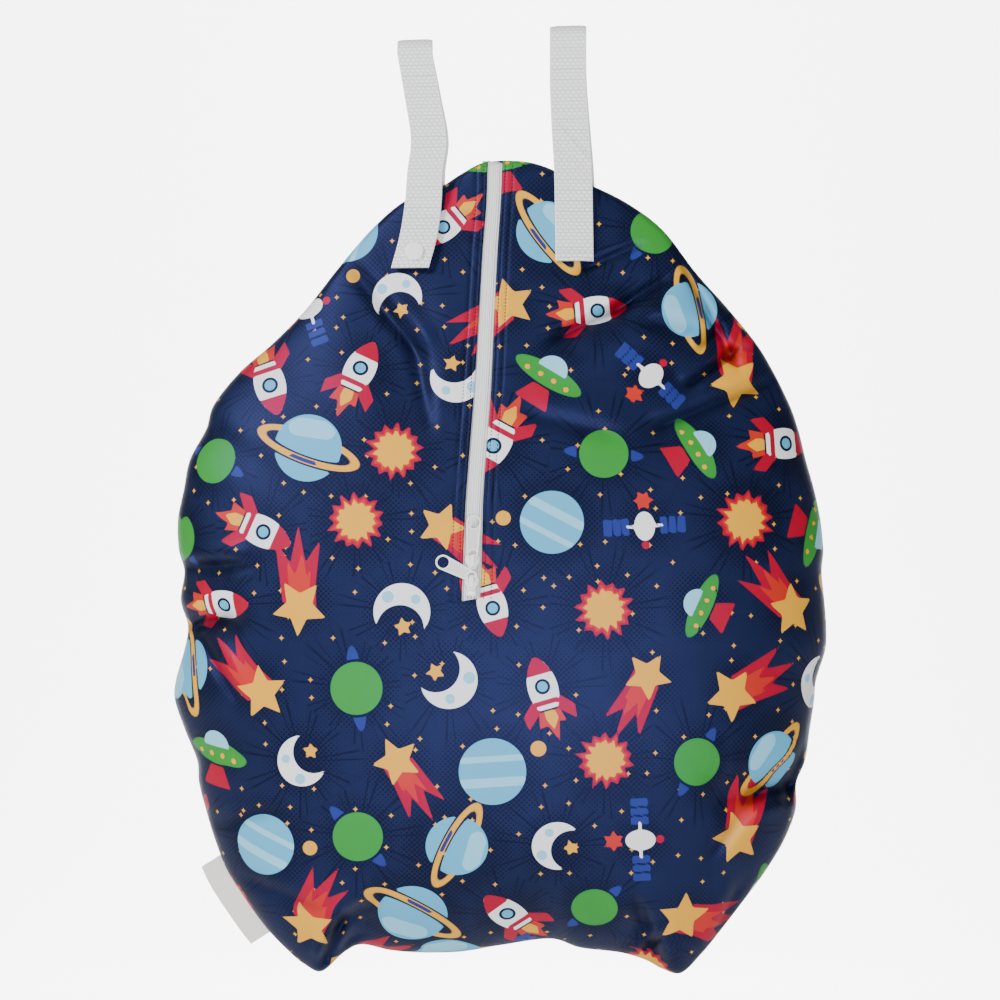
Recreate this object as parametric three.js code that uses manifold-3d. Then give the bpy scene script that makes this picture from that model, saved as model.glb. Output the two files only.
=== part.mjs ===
// A cloth wet bag that hangs from two webbing loops: a front and a back panel sewn together all
// round into one hollow, pear-shaped pouch, a white coil zip down the middle of the front with two
// sliders and their pulls, one loop sewn shut and one that opens at a press stud, and a blank
// folded label in the left side seam.
// Millimetres, +Z up, the front faces -Y. The origin is where the rail would pass through the loops.
import * as THREE from "three";
import { mergeVertices } from "three/addons/utils/BufferGeometryUtils.js";
import Module from "manifold-3d";

const wasm = await Module();
wasm.setup();

// Driving sizes of the pouch.
const BAG_WIDTH = 430; // widest, from side seam to side seam
const BAG_DROP = 536; // from the top seam down to the lower corners
const BAG_DEPTH = 150; // front to back at the fullest place
const BAG_SHIFT = 6; // the pouch hangs this far to the right of the middle of the loops
const TOP_SEAM_BELOW = 83; // from the rail line down to the top seam
const CLOTH_THICK = 1.8; // wall of the laminated cloth
const SEAM_ROLL = 4; // the turned seam rounds over within this distance of the outline
const SEAM_HALF = 2.6; // half the thickness of the turned seam
const HEART_DOWN = 0.55; // share of the drop where the panels' grid lines meet
const ROUNDNESS = 2.3; // how flat the middle of the belly is
const FLANK = 0.56; // how steeply the belly rises from the seam
const FOLDS_FULL = 18.75; // folds have their full rise where the cloth stands this far off the seam

// Driving sizes of the zip.
const ZIP_LENGTH = 288; // from the top seam to the lower end of the opening
const ZIP_SLOT = 12.6; // widest part of the opening in the cloth
const ZIP_LEAN = 15.5; // the lower end lies this far to the left of the upper end
const ZIP_TOP_RIGHT = 2.3; // the upper end lies this far to the right of the rail's middle
const TAPE_WIDTH = 30;
const TAPE_THICK = 0.9;
const TAPE_TOP_INSET = 2; // the tape starts this far below the top seam
const TAPE_NECK = 20; // over this length under the top seam only the exposed strip fits
const FOLDS_STOP = 22.5; // folds die away from the second of these distances to the first
const FOLDS_FREE = 42;
const COIL_WIDTH = 6;
const COIL_THICK = 1.5;
const STOP_WIDTH = 6.3;
const STOP_LENGTH = 4.4;
const STOP_THICK = 1.6;
const STOP_ABOVE_END = 2.4; // from the end of the opening up to the stop

// Driving sizes of a slider and its pull.
const SLIDER_WIDTH = 10;
const SLIDER_LENGTH = 10.4;
const SLIDER_PLATE = 1.2;
const SLIDER_FOOT = 5; // width of the plate's lower end
const SLIDER_CHEEK = 1; // thickness of the cheeks that run down beside the coil
const CHEEK_LENGTH = 5.2;
const CROWN_LENGTH = 8.6; // the bridge on the slider, measured along the zip
const CROWN_WIDTH = 3;
const CROWN_BAR = 1.3;
const PULL_LENGTH = 29.5;
const PULL_WIDTH = 10;
const PULL_NECK = 7.6; // width at the inner end
const PULL_THICK = 1.4;
const PULL_RIM = 1.7; // left round the finger hole
const PULL_EYE = 5; // diameter of the eye that the bridge passes through
const UPPER_SLIDER_ABOVE_END = 24.3; // from the end of the opening up to the middle of each slider
const LOWER_SLIDER_ABOVE_END = 10.9;
const LOWER_PULL_SWING = 66; // degrees that the lower pull is swung to the left

// Driving sizes of the webbing loops, the press stud and the label.
const WEB_WIDTH = 25;
const WEB_THICK = 1.6;
const LOOP_RADIUS = 8; // inner radius of the turn over the rail
const WEB_HEM_BELOW = 150; // from the rail line down to the right loop's hem
const LEFT_LOOP_BELOW = 9.2; // the left loop's turn lies this much lower than the right one's
const LOOP_SPACING = 101; // between the middles of the two loops at the rail
const BACK_LEG_SHIFT = 2.6; // the rear leg of each loop lies this far to the right of the front leg
const STUD_CAP = 12.8; // diameter of the white cap
const STUD_CAP_RISE = 2;
const STUD_SOCKET = 11;
const STUD_SOCKET_THICK = 2;
const STUD_KNOB = 4;
const STUD_KNOB_RISE = 1.5; // how far the knob stands off its base
const STUD_BASE = 0.7;
const STUD_LIFT_ENDS = 35; // the webbing lies down on the cloth within this length above the stud
const STUD_ABOVE_HEM = 10.8; // from the left loop's hem up to the middle of the stud
const LABEL_LENGTH = 51;
const LABEL_WIDTH = 14.3;
const LABEL_THICK = 1;
const LABEL_DOWN = 0.902; // share of the drop at the middle of the label
const LABEL_CURL = 2; // the free edge bows forward by this much

// Clearances.
const GAP = 0.3; // between pieces that touch
const LAID = 0.9; // under cloth that lies on cloth
const EASE = 0.5; // between a flat disc and the cloth that bends past it
const PIVOT_GAP = 0.45; // round the rim of a pull's eye where it turns under the bridge

// The top seam slopes down from the zip over both shoulders.
// across is a share of half the width, left and right are shares of the drop.
const SHOULDERS = [
  { across: 0.05, left: 0.002, right: 0.0 },
  { across: 0.12, left: 0.016, right: 0.005 },
  { across: 0.2, left: 0.036, right: 0.018 },
  { across: 0.3, left: 0.051, right: 0.034 },
  { across: 0.4, left: 0.086, right: 0.055 },
  { across: 0.5, left: 0.133, right: 0.086 },
  { across: 0.6, left: 0.184, right: 0.138 },
  { across: 0.7, left: 0.225, right: 0.183 },
  { across: 0.8, left: 0.26, right: 0.234 },
  { across: 0.88, left: 0.3, right: 0.294 },
];

// The side seams: how far each lies from the middle, as shares of half the width.
const SIDES = [
  { down: 0.331, left: 0.905, right: 0.914 },
  { down: 0.368, left: 0.954, right: 0.937 },
  { down: 0.405, left: 0.973, right: 0.963 },
  { down: 0.442, left: 0.991, right: 0.982 },
  { down: 0.479, left: 0.988, right: 0.991 },
  { down: 0.506, left: 0.971, right: 0.986 },
  { down: 0.541, left: 0.982, right: 0.994 },
  { down: 0.573, left: 0.96, right: 1.0 },
  { down: 0.602, left: 0.971, right: 0.997 },
  { down: 0.639, left: 0.997, right: 0.969 },
  { down: 0.664, left: 1.0, right: 0.963 },
  { down: 0.701, left: 0.969, right: 0.949 },
  { down: 0.738, left: 0.932, right: 0.935 },
  { down: 0.766, left: 0.926, right: 0.908 },
  { down: 0.799, left: 0.905, right: 0.906 },
  { down: 0.836, left: 0.877, right: 0.871 },
  { down: 0.873, left: 0.84, right: 0.816 },
  { down: 0.91, left: 0.782, right: 0.748 },
  { down: 0.947, left: 0.714, right: 0.677 },
  { down: 0.975, left: 0.646, right: 0.62 },
];

// The bottom seam from the right corner to the left one, with a lower corner at each end.
const BOTTOM = [
  { across: 0.555, down: 1.0 },
  { across: 0.496, down: 0.995 },
  { across: 0.444, down: 0.984 },
  { across: 0.367, down: 0.975 },
  { across: 0.244, down: 0.969 },
  { across: 0.152, down: 0.958 },
  { across: 0.0, down: 0.966 },
  { across: -0.124, down: 0.974 },
  { across: -0.247, down: 0.975 },
  { across: -0.339, down: 0.972 },
  { across: -0.425, down: 0.965 },
  { across: -0.478, down: 0.974 },
  { across: -0.548, down: 0.998 },
  { across: -0.6, down: 0.99 },
];

// How full the pouch is at each height: flat at the top seam, fullest low down.
const FULLNESS = [
  { down: 0, share: 0.16 },
  { down: 0.12, share: 0.36 },
  { down: 0.28, share: 0.66 },
  { down: 0.46, share: 0.9 },
  { down: 0.62, share: 1.0 },
  { down: 0.78, share: 1.04 },
  { down: 0.9, share: 1.02 },
  { down: 1, share: 0.9 },
];

// Soft folds of the front, each a trough (negative) or a ridge between two places.
// Places are shares of half the width and of the drop, width of BAG_WIDTH, rise of BAG_DEPTH.
const FRONT_FOLDS = [
  { fromAcross: 0.28, fromDown: 0.127, toAcross: 0.4, toDown: 0.108, width: 0.018, rise: -0.012 },
  { fromAcross: 0.2, fromDown: 0.214, toAcross: 0.52, toDown: 0.138, width: 0.026, rise: -0.032 },
  { fromAcross: 0.22, fromDown: 0.246, toAcross: 0.54, toDown: 0.17, width: 0.03, rise: 0.02 },
  { fromAcross: 0.56, fromDown: 0.273, toAcross: 0.74, toDown: 0.232, width: 0.024, rise: -0.03 },
  { fromAcross: 0.5, fromDown: 0.328, toAcross: 0.81, toDown: 0.275, width: 0.03, rise: -0.034 },
  { fromAcross: 0.57, fromDown: 0.125, toAcross: 0.7, toDown: 0.234, width: 0.02, rise: -0.026 },
  { fromAcross: -0.42, fromDown: 0.15, toAcross: -0.26, toDown: 0.27, width: 0.06, rise: -0.03 },
  { fromAcross: -0.97, fromDown: 0.574, toAcross: -0.84, toDown: 0.566, width: 0.026, rise: -0.05 },
  { fromAcross: -0.97, fromDown: 0.505, toAcross: -0.86, toDown: 0.5, width: 0.02, rise: -0.03 },
  { fromAcross: 0.92, fromDown: 0.762, toAcross: 0.7, toDown: 0.775, width: 0.034, rise: -0.06 },
  { fromAcross: -0.5, fromDown: 0.985, toAcross: -0.44, toDown: 0.93, width: 0.026, rise: -0.07 },
  { fromAcross: 0.47, fromDown: 0.99, toAcross: 0.43, toDown: 0.94, width: 0.026, rise: -0.06 },
];

// Soft folds of the back.
const BACK_FOLDS = [
  { fromAcross: -0.3, fromDown: 0.14, toAcross: -0.62, toDown: 0.3, width: 0.04, rise: -0.035 },
  { fromAcross: 0.3, fromDown: 0.14, toAcross: 0.62, toDown: 0.28, width: 0.04, rise: -0.03 },
  { fromAcross: 0.0, fromDown: 0.1, toAcross: 0.03, toDown: 0.4, width: 0.06, rise: -0.03 },
  { fromAcross: 0.93, fromDown: 0.76, toAcross: 0.7, toDown: 0.74, width: 0.034, rise: -0.05 },
  { fromAcross: -0.97, fromDown: 0.574, toAcross: -0.8, toDown: 0.6, width: 0.028, rise: -0.05 },
  { fromAcross: -0.5, fromDown: 0.985, toAcross: -0.42, toDown: 0.93, width: 0.028, rise: -0.07 },
  { fromAcross: 0.5, fromDown: 0.99, toAcross: 0.42, toDown: 0.93, width: 0.028, rise: -0.06 },
];

// The line of the zip: lean is a share of ZIP_LEAN, wide a share of ZIP_SLOT.
const ZIP_LINE = [
  { down: 0, lean: 0, wide: 0.82 },
  { down: 0.1, lean: 0.065, wide: 0.78 },
  { down: 0.2, lean: 0.2, wide: 0.82 },
  { down: 0.34, lean: 0.34, wide: 0.84 },
  { down: 0.52, lean: 0.51, wide: 0.9 },
  { down: 0.77, lean: 0.85, wide: 0.92 },
  { down: 0.91, lean: 0.935, wide: 1 },
  { down: 1, lean: 1, wide: 0.98 },
];

// The right edge of a slider's plate, from its foot up: shares of half its width and length for
// the end of each curve and for the corner that it bends round.
const SHIELD = [
  { across: 1, up: 0, cornerAcross: 0.7, cornerUp: -0.3 },
  { across: 0.55, up: 1, cornerAcross: 1, cornerUp: 0.7 },
];

// The rounded face of the press stud's cap: shares of half its diameter and of its rise.
const CAP_FACE = [
  { radius: 1, rise: 0 },
  { radius: 1, rise: 0.35 },
  { radius: 0.9, rise: 0.72 },
  { radius: 0.6, rise: 0.94 },
  { radius: 0, rise: 1 },
];

// The front legs of the loops, from the turn down to the hem: side is how far the middle of the
// webbing lies from its place at the rail, as a share of WEB_WIDTH, turn how far it is turned
// about its length, in degrees.
const LEFT_LEG = [
  { down: 0, side: 0, turn: 22 },
  { down: 0.2, side: 0.2, turn: 20 },
  { down: 0.4, side: 0.37, turn: 18 },
  { down: 0.55, side: 0.27, turn: 20 },
  { down: 0.7, side: 0.22, turn: 14 },
  { down: 0.85, side: 0.1, turn: 8 },
  { down: 1, side: -0.12, turn: 6 },
];
const RIGHT_LEG = [
  { down: 0, side: 0, turn: 18 },
  { down: 0.2, side: 0.0, turn: 16 },
  { down: 0.4, side: 0.06, turn: 8 },
  { down: 0.6, side: 0.13, turn: 2 },
  { down: 0.8, side: 0.15, turn: 0 },
  { down: 1, side: 0.16, turn: 0 },
];

// How finely the shapes are drawn.
const SOFT_REACH = 6; // corners of the outline to each side that the evened seam takes in
const RIM_BAND = 0.6; // share of the way out where the true outline begins to tell
const PANEL_RINGS = [0.018, 0.045, 0.09, 0.15, 0.22, 0.31, 0.42, 0.54, 0.68, 0.84, 1];
const ZIP_ROWS = 22;
const LEG_ROWS = 16;
const TURN_ROWS = 6;
const WEB_COLUMNS = 3;
const ROUND_SIDES = 20;
const LABEL_ROWS = 6;
const LABEL_COLUMNS = 2;
const SMOOTHING = 2; // how softly webbing lifts off the cloth
const PROBE = 0.5; // step for slopes
const CUT_ABOVE = 8; // the cutter of the zip's opening starts this far above the top seam
const SAME_POINT = 1e-4;

// Evenly spaced numbers from one value to another.
const steps = (from, to, count) =>
  Array.from({ length: count + 1 }, (_, i) => from + ((to - from) * i) / count);

// Smooth value of a table's column at a place between its rows.
function along(rows, place, key, value) {
  const last = rows.length - 1;
  if (value <= rows[0][place]) return rows[0][key];
  if (value >= rows[last][place]) return rows[last][key];
  const i = rows.findIndex((row, at) => value < rows[Math.min(at + 1, last)][place]);
  const slope = (at) => {
    const a = rows[Math.max(at - 1, 0)];
    const b = rows[Math.min(at + 1, last)];
    return (b[key] - a[key]) / (b[place] - a[place]);
  };
  const span = rows[i + 1][place] - rows[i][place];
  const t = (value - rows[i][place]) / span;
  const t2 = t * t;
  const t3 = t2 * t;
  return (
    (2 * t3 - 3 * t2 + 1) * rows[i][key] +
    (t3 - 2 * t2 + t) * span * slope(i) +
    (3 * t2 - 2 * t3) * rows[i + 1][key] +
    (t3 - t2) * span * slope(i + 1)
  );
}

const acrossToX = (share) => BAG_SHIFT + (share * BAG_WIDTH) / 2;
const downToZ = (share) => -TOP_SEAM_BELOW - share * BAG_DROP;
const zToDown = (z) => (-TOP_SEAM_BELOW - z) / BAG_DROP;

// The seam that runs all round the pouch, clockwise from the zip as seen from the front.
const OUTLINE = [
  ...SHOULDERS.map((row) => [row.across, row.right]),
  ...SIDES.map((row) => [row.right, row.down]),
  ...BOTTOM.map((row) => [row.across, row.down]),
  ...[...SIDES].reverse().map((row) => [-row.left, row.down]),
  ...[...SHOULDERS].reverse().map((row) => [-row.across, row.left]),
].map(([across, down]) => new THREE.Vector2(acrossToX(across), downToZ(down)));

const HEART = new THREE.Vector2(acrossToX(0), downToZ(HEART_DOWN));
const RIM = OUTLINE.map((point) => point.clone().sub(HEART));

const SOFT_RIM = RIM.map((_, i) => {
  const near = steps(-SOFT_REACH, SOFT_REACH, 2 * SOFT_REACH);
  const lengths = near.map((k) => RIM[(i + k + RIM.length) % RIM.length].length());
  return lengths.reduce((sum, length) => sum + length) / near.length;
});

// Distances from the heart of the panel in the direction of (x, z): to the seam, and to the
// seam with its dents and corners evened out, which is what the belly further in follows.
function rimDistance(x, z) {
  const way = new THREE.Vector2(x, z).normalize();
  for (let i = 0; i < RIM.length; i++) {
    const next = (i + 1) % RIM.length;
    const a = RIM[i];
    const b = RIM[next];
    if (way.cross(a) * way.cross(b) > 0 || way.dot(a) + way.dot(b) <= 0) continue;
    const edge = b.clone().sub(a);
    const reach = a.cross(edge) / way.cross(edge);
    const share = way.clone().multiplyScalar(reach).sub(a).length() / edge.length();
    return { reach, soft: THREE.MathUtils.lerp(SOFT_RIM[i], SOFT_RIM[next], share) };
  }
  return { reach: RIM[0].length(), soft: SOFT_RIM[0] };
}

// Rise of one soft fold at a place: a rounded ridge or trough that fades at both ends.
function foldRise(fold, x, z) {
  const from = new THREE.Vector2(acrossToX(fold.fromAcross), downToZ(fold.fromDown));
  const line = new THREE.Vector2(acrossToX(fold.toAcross), downToZ(fold.toDown)).sub(from);
  const place = new THREE.Vector2(x, z).sub(from);
  const share = THREE.MathUtils.clamp(place.dot(line) / line.lengthSq(), 0, 1);
  const off = place.sub(line.multiplyScalar(share)).length() / (fold.width * BAG_WIDTH);
  return fold.rise * BAG_DEPTH * Math.exp(-off * off);
}

const zipDown = (z) => (-TOP_SEAM_BELOW - z) / ZIP_LENGTH;
const zipX = (z) => ZIP_TOP_RIGHT - ZIP_LEAN * along(ZIP_LINE, "down", "lean", zipDown(z));
const slotHalf = (z) => (ZIP_SLOT / 2) * along(ZIP_LINE, "down", "wide", zipDown(z));

// How far the outside of the cloth stands from the middle plane at (x, z).
function bagDepth(x, z, folds) {
  const fromHeart = Math.hypot(x - HEART.x, z - HEART.y);
  const { reach, soft } = rimDistance(x - HEART.x, z - HEART.y);
  const inset = Math.max(reach - fromHeart, 0);
  if (inset === 0) return 0;
  const roll = 1 - Math.min(inset / SEAM_ROLL, 1);
  const seam = SEAM_HALF * Math.sqrt(1 - roll * roll);
  const nearRim = THREE.MathUtils.smoothstep(fromHeart / reach, RIM_BAND, 1);
  const follows = Math.max(THREE.MathUtils.lerp(soft, reach, nearRim), fromHeart);
  const dome = (1 - (fromHeart / follows) ** ROUNDNESS) ** FLANK;
  const full = along(FULLNESS, "down", "share", zToDown(z));
  const belly = (BAG_DEPTH / 2) * full * dome;
  const slack = Math.min(belly / FOLDS_FULL, 1);
  const calm = THREE.MathUtils.smoothstep(Math.abs(x - zipX(z)), FOLDS_STOP, FOLDS_FREE);
  const waves = folds.reduce((sum, fold) => sum + foldRise(fold, x, z), 0);
  return seam + belly + waves * slack * calm;
}
const frontDepth = (x, z) => bagDepth(x, z, FRONT_FOLDS);
const backDepth = (x, z) => bagDepth(x, z, BACK_FOLDS);

// Unit normal pointing out of the cloth; side is -1 for the front and 1 for the back.
function outward(depth, side, x, z) {
  const slopeX = (depth(x + PROBE, z) - depth(x - PROBE, z)) / (2 * PROBE);
  const slopeZ = (depth(x, z + PROBE) - depth(x, z - PROBE)) / (2 * PROBE);
  return new THREE.Vector3(-slopeX, side, -slopeZ).normalize();
}

// A place at a distance outside the cloth (negative is inside it).
function offCloth(depth, side, x, z, distance) {
  const normal = outward(depth, side, x, z);
  const place = new THREE.Vector3(x, side * (GAP / 2 + depth(x, z)), z);
  return place.addScaledVector(normal, distance);
}

// A closed body between two grids of points: outer and inner skins and the walls round each hole.
function skin(outer, inner, { wrap = false, pole = false, kept = () => true } = {}) {
  const rows = outer.length - 1;
  const columns = outer[0].length - (wrap ? 0 : 1);
  const column = (c) => (wrap ? (c + columns) % columns : c);
  const has = (r, c) =>
    r >= 0 && r < rows && (wrap || (c >= 0 && c < columns)) && kept(r, column(c));
  const corners = [];
  const triangle = (a, b, c) => {
    const sides = [a.distanceTo(b), b.distanceTo(c), c.distanceTo(a)];
    if (Math.min(...sides) > SAME_POINT) corners.push(a, b, c);
  };
  const quad = (a, b, c, d) => {
    triangle(a, b, c);
    triangle(a, c, d);
  };
  for (let r = 0; r < rows; r++)
    for (let c = 0; c < columns; c++) {
      if (!has(r, c)) continue;
      const ring = [
        [r, column(c)],
        [r, column(c + 1)],
        [r + 1, column(c + 1)],
        [r + 1, column(c)],
      ];
      const o = ring.map(([i, j]) => outer[i][j]);
      const n = ring.map(([i, j]) => inner[i][j]);
      quad(o[0], o[1], o[2], o[3]);
      quad(n[0], n[3], n[2], n[1]);
      const beside = [has(r - 1, c), has(r, c + 1), has(r + 1, c), has(r, c - 1)];
      beside.forEach((joined, k) => {
        const m = (k + 1) % 4;
        const shutByPole = pole && k === 2 && r === rows - 1;
        if (!joined && !shutByPole) quad(o[m], o[k], n[k], n[m]);
      });
    }
  return facingOut(new THREE.BufferGeometry().setFromPoints(corners));
}

// The same triangles, turned round if they enclose a negative volume.
function facingOut(geometry) {
  const position = geometry.getAttribute("position");
  const corner = (i) => new THREE.Vector3().fromBufferAttribute(position, i);
  let volume = 0;
  for (let i = 0; i < position.count; i += 3)
    volume += corner(i).dot(corner(i + 1).cross(corner(i + 2)));
  if (volume >= 0) return geometry;
  const turned = [];
  for (let i = 0; i < position.count; i += 3) turned.push(corner(i), corner(i + 2), corner(i + 1));
  return new THREE.BufferGeometry().setFromPoints(turned);
}

function solidOf(geometry) {
  const bare = geometry.clone();
  bare.deleteAttribute("normal");
  bare.deleteAttribute("uv");
  const merged = mergeVertices(bare, SAME_POINT);
  return new wasm.Manifold(
    new wasm.Mesh({
      numProp: 3,
      vertProperties: merged.getAttribute("position").array,
      triVerts: new Uint32Array(merged.index.array),
    }),
  );
}

function geometryOf(solid) {
  const mesh = solid.getMesh();
  const geometry = new THREE.BufferGeometry();
  geometry.setAttribute("position", new THREE.BufferAttribute(mesh.vertProperties, 3));
  geometry.setIndex(new THREE.BufferAttribute(mesh.triVerts, 1));
  geometry.computeVertexNormals();
  return geometry;
}

const joined = (...geometries) =>
  geometryOf(geometries.map(solidOf).reduce((sum, solid) => sum.add(solid)));
const without = (geometry, ...cutters) =>
  geometryOf(cutters.map(solidOf).reduce((rest, solid) => rest.subtract(solid), solidOf(geometry)));

// One panel: rings of points from the seam to the heart, outside and inside of the cloth.
function panelShell(depth, side) {
  const corners = OUTLINE.length;
  const outer = [];
  const inner = [];
  outer.push(OUTLINE.map((point) => new THREE.Vector3(point.x, (side * GAP) / 2, point.y)));
  inner.push(
    OUTLINE.map((point, i) => {
      const before = OUTLINE[(i + corners - 1) % corners];
      const after = OUTLINE[(i + 1) % corners];
      const tangent = after.clone().sub(before).normalize();
      return new THREE.Vector3(
        point.x + tangent.y * CLOTH_THICK,
        (side * GAP) / 2,
        point.y - tangent.x * CLOTH_THICK,
      );
    }),
  );
  for (const share of [0, ...PANEL_RINGS]) {
    const ring = RIM.map((arm) => {
      const inset = SEAM_ROLL + share * (arm.length() - SEAM_ROLL);
      return arm.clone().multiplyScalar(1 - inset / arm.length()).add(HEART);
    });
    outer.push(ring.map((p) => offCloth(depth, side, p.x, p.y, 0)));
    inner.push(ring.map((p) => offCloth(depth, side, p.x, p.y, -CLOTH_THICK)));
  }
  return skin(outer, inner, { wrap: true, pole: true });
}

const ZIP_TOP_Z = downToZ(0);
const ZIP_END_Z = ZIP_TOP_Z - ZIP_LENGTH;

// The opening in the front panel, as a block that cuts it.
function zipOpening() {
  const rows = steps(ZIP_TOP_Z + CUT_ABOVE, ZIP_END_Z, ZIP_ROWS);
  const left = rows.map((z) => new THREE.Vector2(zipX(z) - slotHalf(z), z));
  const right = rows.map((z) => new THREE.Vector2(zipX(z) + slotHalf(z), z));
  const shape = new THREE.Shape([...left, ...right.reverse()]);
  const block = new THREE.ExtrudeGeometry(shape, { depth: BAG_DEPTH, bevelEnabled: false });
  return block.rotateX(Math.PI / 2);
}

// A strip that follows the zip at a depth under the outside of the cloth.
function zipStrip(rows, columnsAt, under, thick, kept) {
  const layer = (distance) =>
    rows.map((z) => columnsAt(z).map((x) => offCloth(frontDepth, -1, x, z, -distance)));
  return skin(layer(under), layer(under + thick), { kept });
}

const TAPE_UNDER = CLOTH_THICK + LAID;
const COIL_UNDER = TAPE_UNDER - GAP - COIL_THICK;

function zipTape() {
  const top = ZIP_TOP_Z - TAPE_TOP_INSET;
  const neck = ZIP_TOP_Z - TAPE_NECK;
  const rows = [top, ...steps(neck, ZIP_END_Z - TAPE_NECK, ZIP_ROWS)];
  const columns = (z) => {
    const exposed = slotHalf(z) - GAP;
    return [-TAPE_WIDTH / 2, -exposed, exposed, TAPE_WIDTH / 2].map((off) => zipX(z) + off);
  };
  const kept = (row, column) => row > 0 || column === 1;
  return zipStrip(rows, columns, TAPE_UNDER, TAPE_THICK, kept);
}

const STOP_Z = ZIP_END_Z + STOP_ABOVE_END + STOP_LENGTH / 2;

function zipCoil() {
  const rows = steps(ZIP_TOP_Z - TAPE_TOP_INSET, STOP_Z + STOP_LENGTH / 2 + GAP, ZIP_ROWS);
  const half = COIL_WIDTH / 2;
  return zipStrip(rows, (z) => [-half, 0, half].map((off) => zipX(z) + off), COIL_UNDER, COIL_THICK);
}

// A frame that lies on the zip: X across it, Z up along it and Y into the bag.
function onZip(z) {
  const x = zipX(z);
  const inwards = outward(frontDepth, -1, x, z).negate();
  const up = offCloth(frontDepth, -1, zipX(z + PROBE), z + PROBE, 0)
    .sub(offCloth(frontDepth, -1, zipX(z - PROBE), z - PROBE, 0))
    .normalize();
  const acrossZip = new THREE.Vector3().crossVectors(inwards, up).normalize();
  up.crossVectors(acrossZip, inwards);
  const place = new THREE.Group();
  place.matrixAutoUpdate = false;
  place.matrix.makeBasis(acrossZip, inwards, up);
  place.matrix.setPosition(offCloth(frontDepth, -1, x, z, 0));
  return place;
}

// The same frame moved up along the zip and then swung to the left about its Y.
function moved(place, up, swing = 0) {
  place.matrix.multiply(new THREE.Matrix4().makeTranslation(0, 0, up));
  place.matrix.multiply(new THREE.Matrix4().makeRotationY(-THREE.MathUtils.degToRad(swing)));
  return place;
}

// Extrudes a flat outline drawn in (x, z) so that it fills the distances near to far outside y = 0.
function plate(shape, near, far, curveSegments = 10) {
  const options = { depth: far - near, bevelEnabled: false, curveSegments };
  return new THREE.ExtrudeGeometry(shape, options).rotateX(Math.PI / 2).translate(0, -near, 0);
}

function box(width, near, far, length, x = 0, z = 0) {
  const block = new THREE.BoxGeometry(width, far - near, length);
  return block.translate(x, -(near + far) / 2, z);
}

const PLATE_NEAR = GAP - COIL_UNDER;
const PLATE_FAR = PLATE_NEAR + SLIDER_PLATE;
const EYE_RIM = (PULL_NECK - PULL_EYE) / 2;
const RIM_SWEEP = Math.hypot(PULL_THICK, EYE_RIM) / 2;
const PIVOT_OUT = PLATE_FAR + PIVOT_GAP + RIM_SWEEP;
const CROWN_INSIDE = PIVOT_OUT + RIM_SWEEP + PIVOT_GAP;
const CROWN_OUT = CROWN_INSIDE + CROWN_BAR;
const LEG_MIDDLE = CROWN_LENGTH / 2 - CROWN_BAR / 2; // from the slider's middle to the upper leg
const LEG_IN_EYE = Math.sqrt((PULL_EYE / 2 - GAP) ** 2 - CROWN_WIDTH ** 2 / 4);
const EYE_UP = LEG_MIDDLE - CROWN_BAR / 2 + LEG_IN_EYE;

// The slider: a shield-shaped plate over the coil, a cheek down each side and the bridge on top.
function sliderBody() {
  const half = SLIDER_WIDTH / 2;
  const end = SLIDER_LENGTH / 2;
  const edge = new THREE.Path().moveTo(SLIDER_FOOT / 2, -end);
  for (const row of SHIELD)
    edge.quadraticCurveTo(
      row.cornerAcross * half,
      row.cornerUp * end,
      row.across * half,
      row.up * end,
    );
  const right = edge.getPoints();
  const left = right.map((point) => new THREE.Vector2(-point.x, point.y)).reverse();
  const shield = new THREE.Shape([...right, ...left]);
  const cheekMiddle = COIL_WIDTH / 2 + GAP + SLIDER_CHEEK / 2;
  const cheekNear = -(TAPE_UNDER - GAP);
  const cheek = (side) =>
    box(SLIDER_CHEEK, cheekNear, PLATE_FAR - GAP, CHEEK_LENGTH, side * cheekMiddle, 0);
  const leg = (side) =>
    box(CROWN_WIDTH, PLATE_FAR - GAP, CROWN_OUT, CROWN_BAR, 0, side * LEG_MIDDLE);
  const bridge = box(CROWN_WIDTH, CROWN_INSIDE, CROWN_OUT, CROWN_LENGTH);
  return joined(plate(shield, PLATE_NEAR, PLATE_FAR), cheek(-1), cheek(1), leg(-1), leg(1), bridge);
}

// The pull: a tapered plate with a round finger hole and an eye; z = 0 is the middle of the eye.
function pullPlate() {
  const neck = PULL_NECK / 2;
  const wide = PULL_WIDTH / 2;
  const outer = PULL_LENGTH - wide - neck;
  const shape = new THREE.Shape();
  shape.absarc(0, 0, neck, Math.PI, 2 * Math.PI, false);
  shape.absarc(0, outer, wide, 0, Math.PI, false);
  shape.closePath();
  const eye = new THREE.Path().absarc(0, 0, PULL_EYE / 2, 0, 2 * Math.PI, true);
  const finger = new THREE.Path().absarc(0, outer, wide - PULL_RIM, 0, 2 * Math.PI, true);
  shape.holes.push(eye, finger);
  return plate(shape, PIVOT_OUT - PULL_THICK / 2, PIVOT_OUT + PULL_THICK / 2);
}

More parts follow.
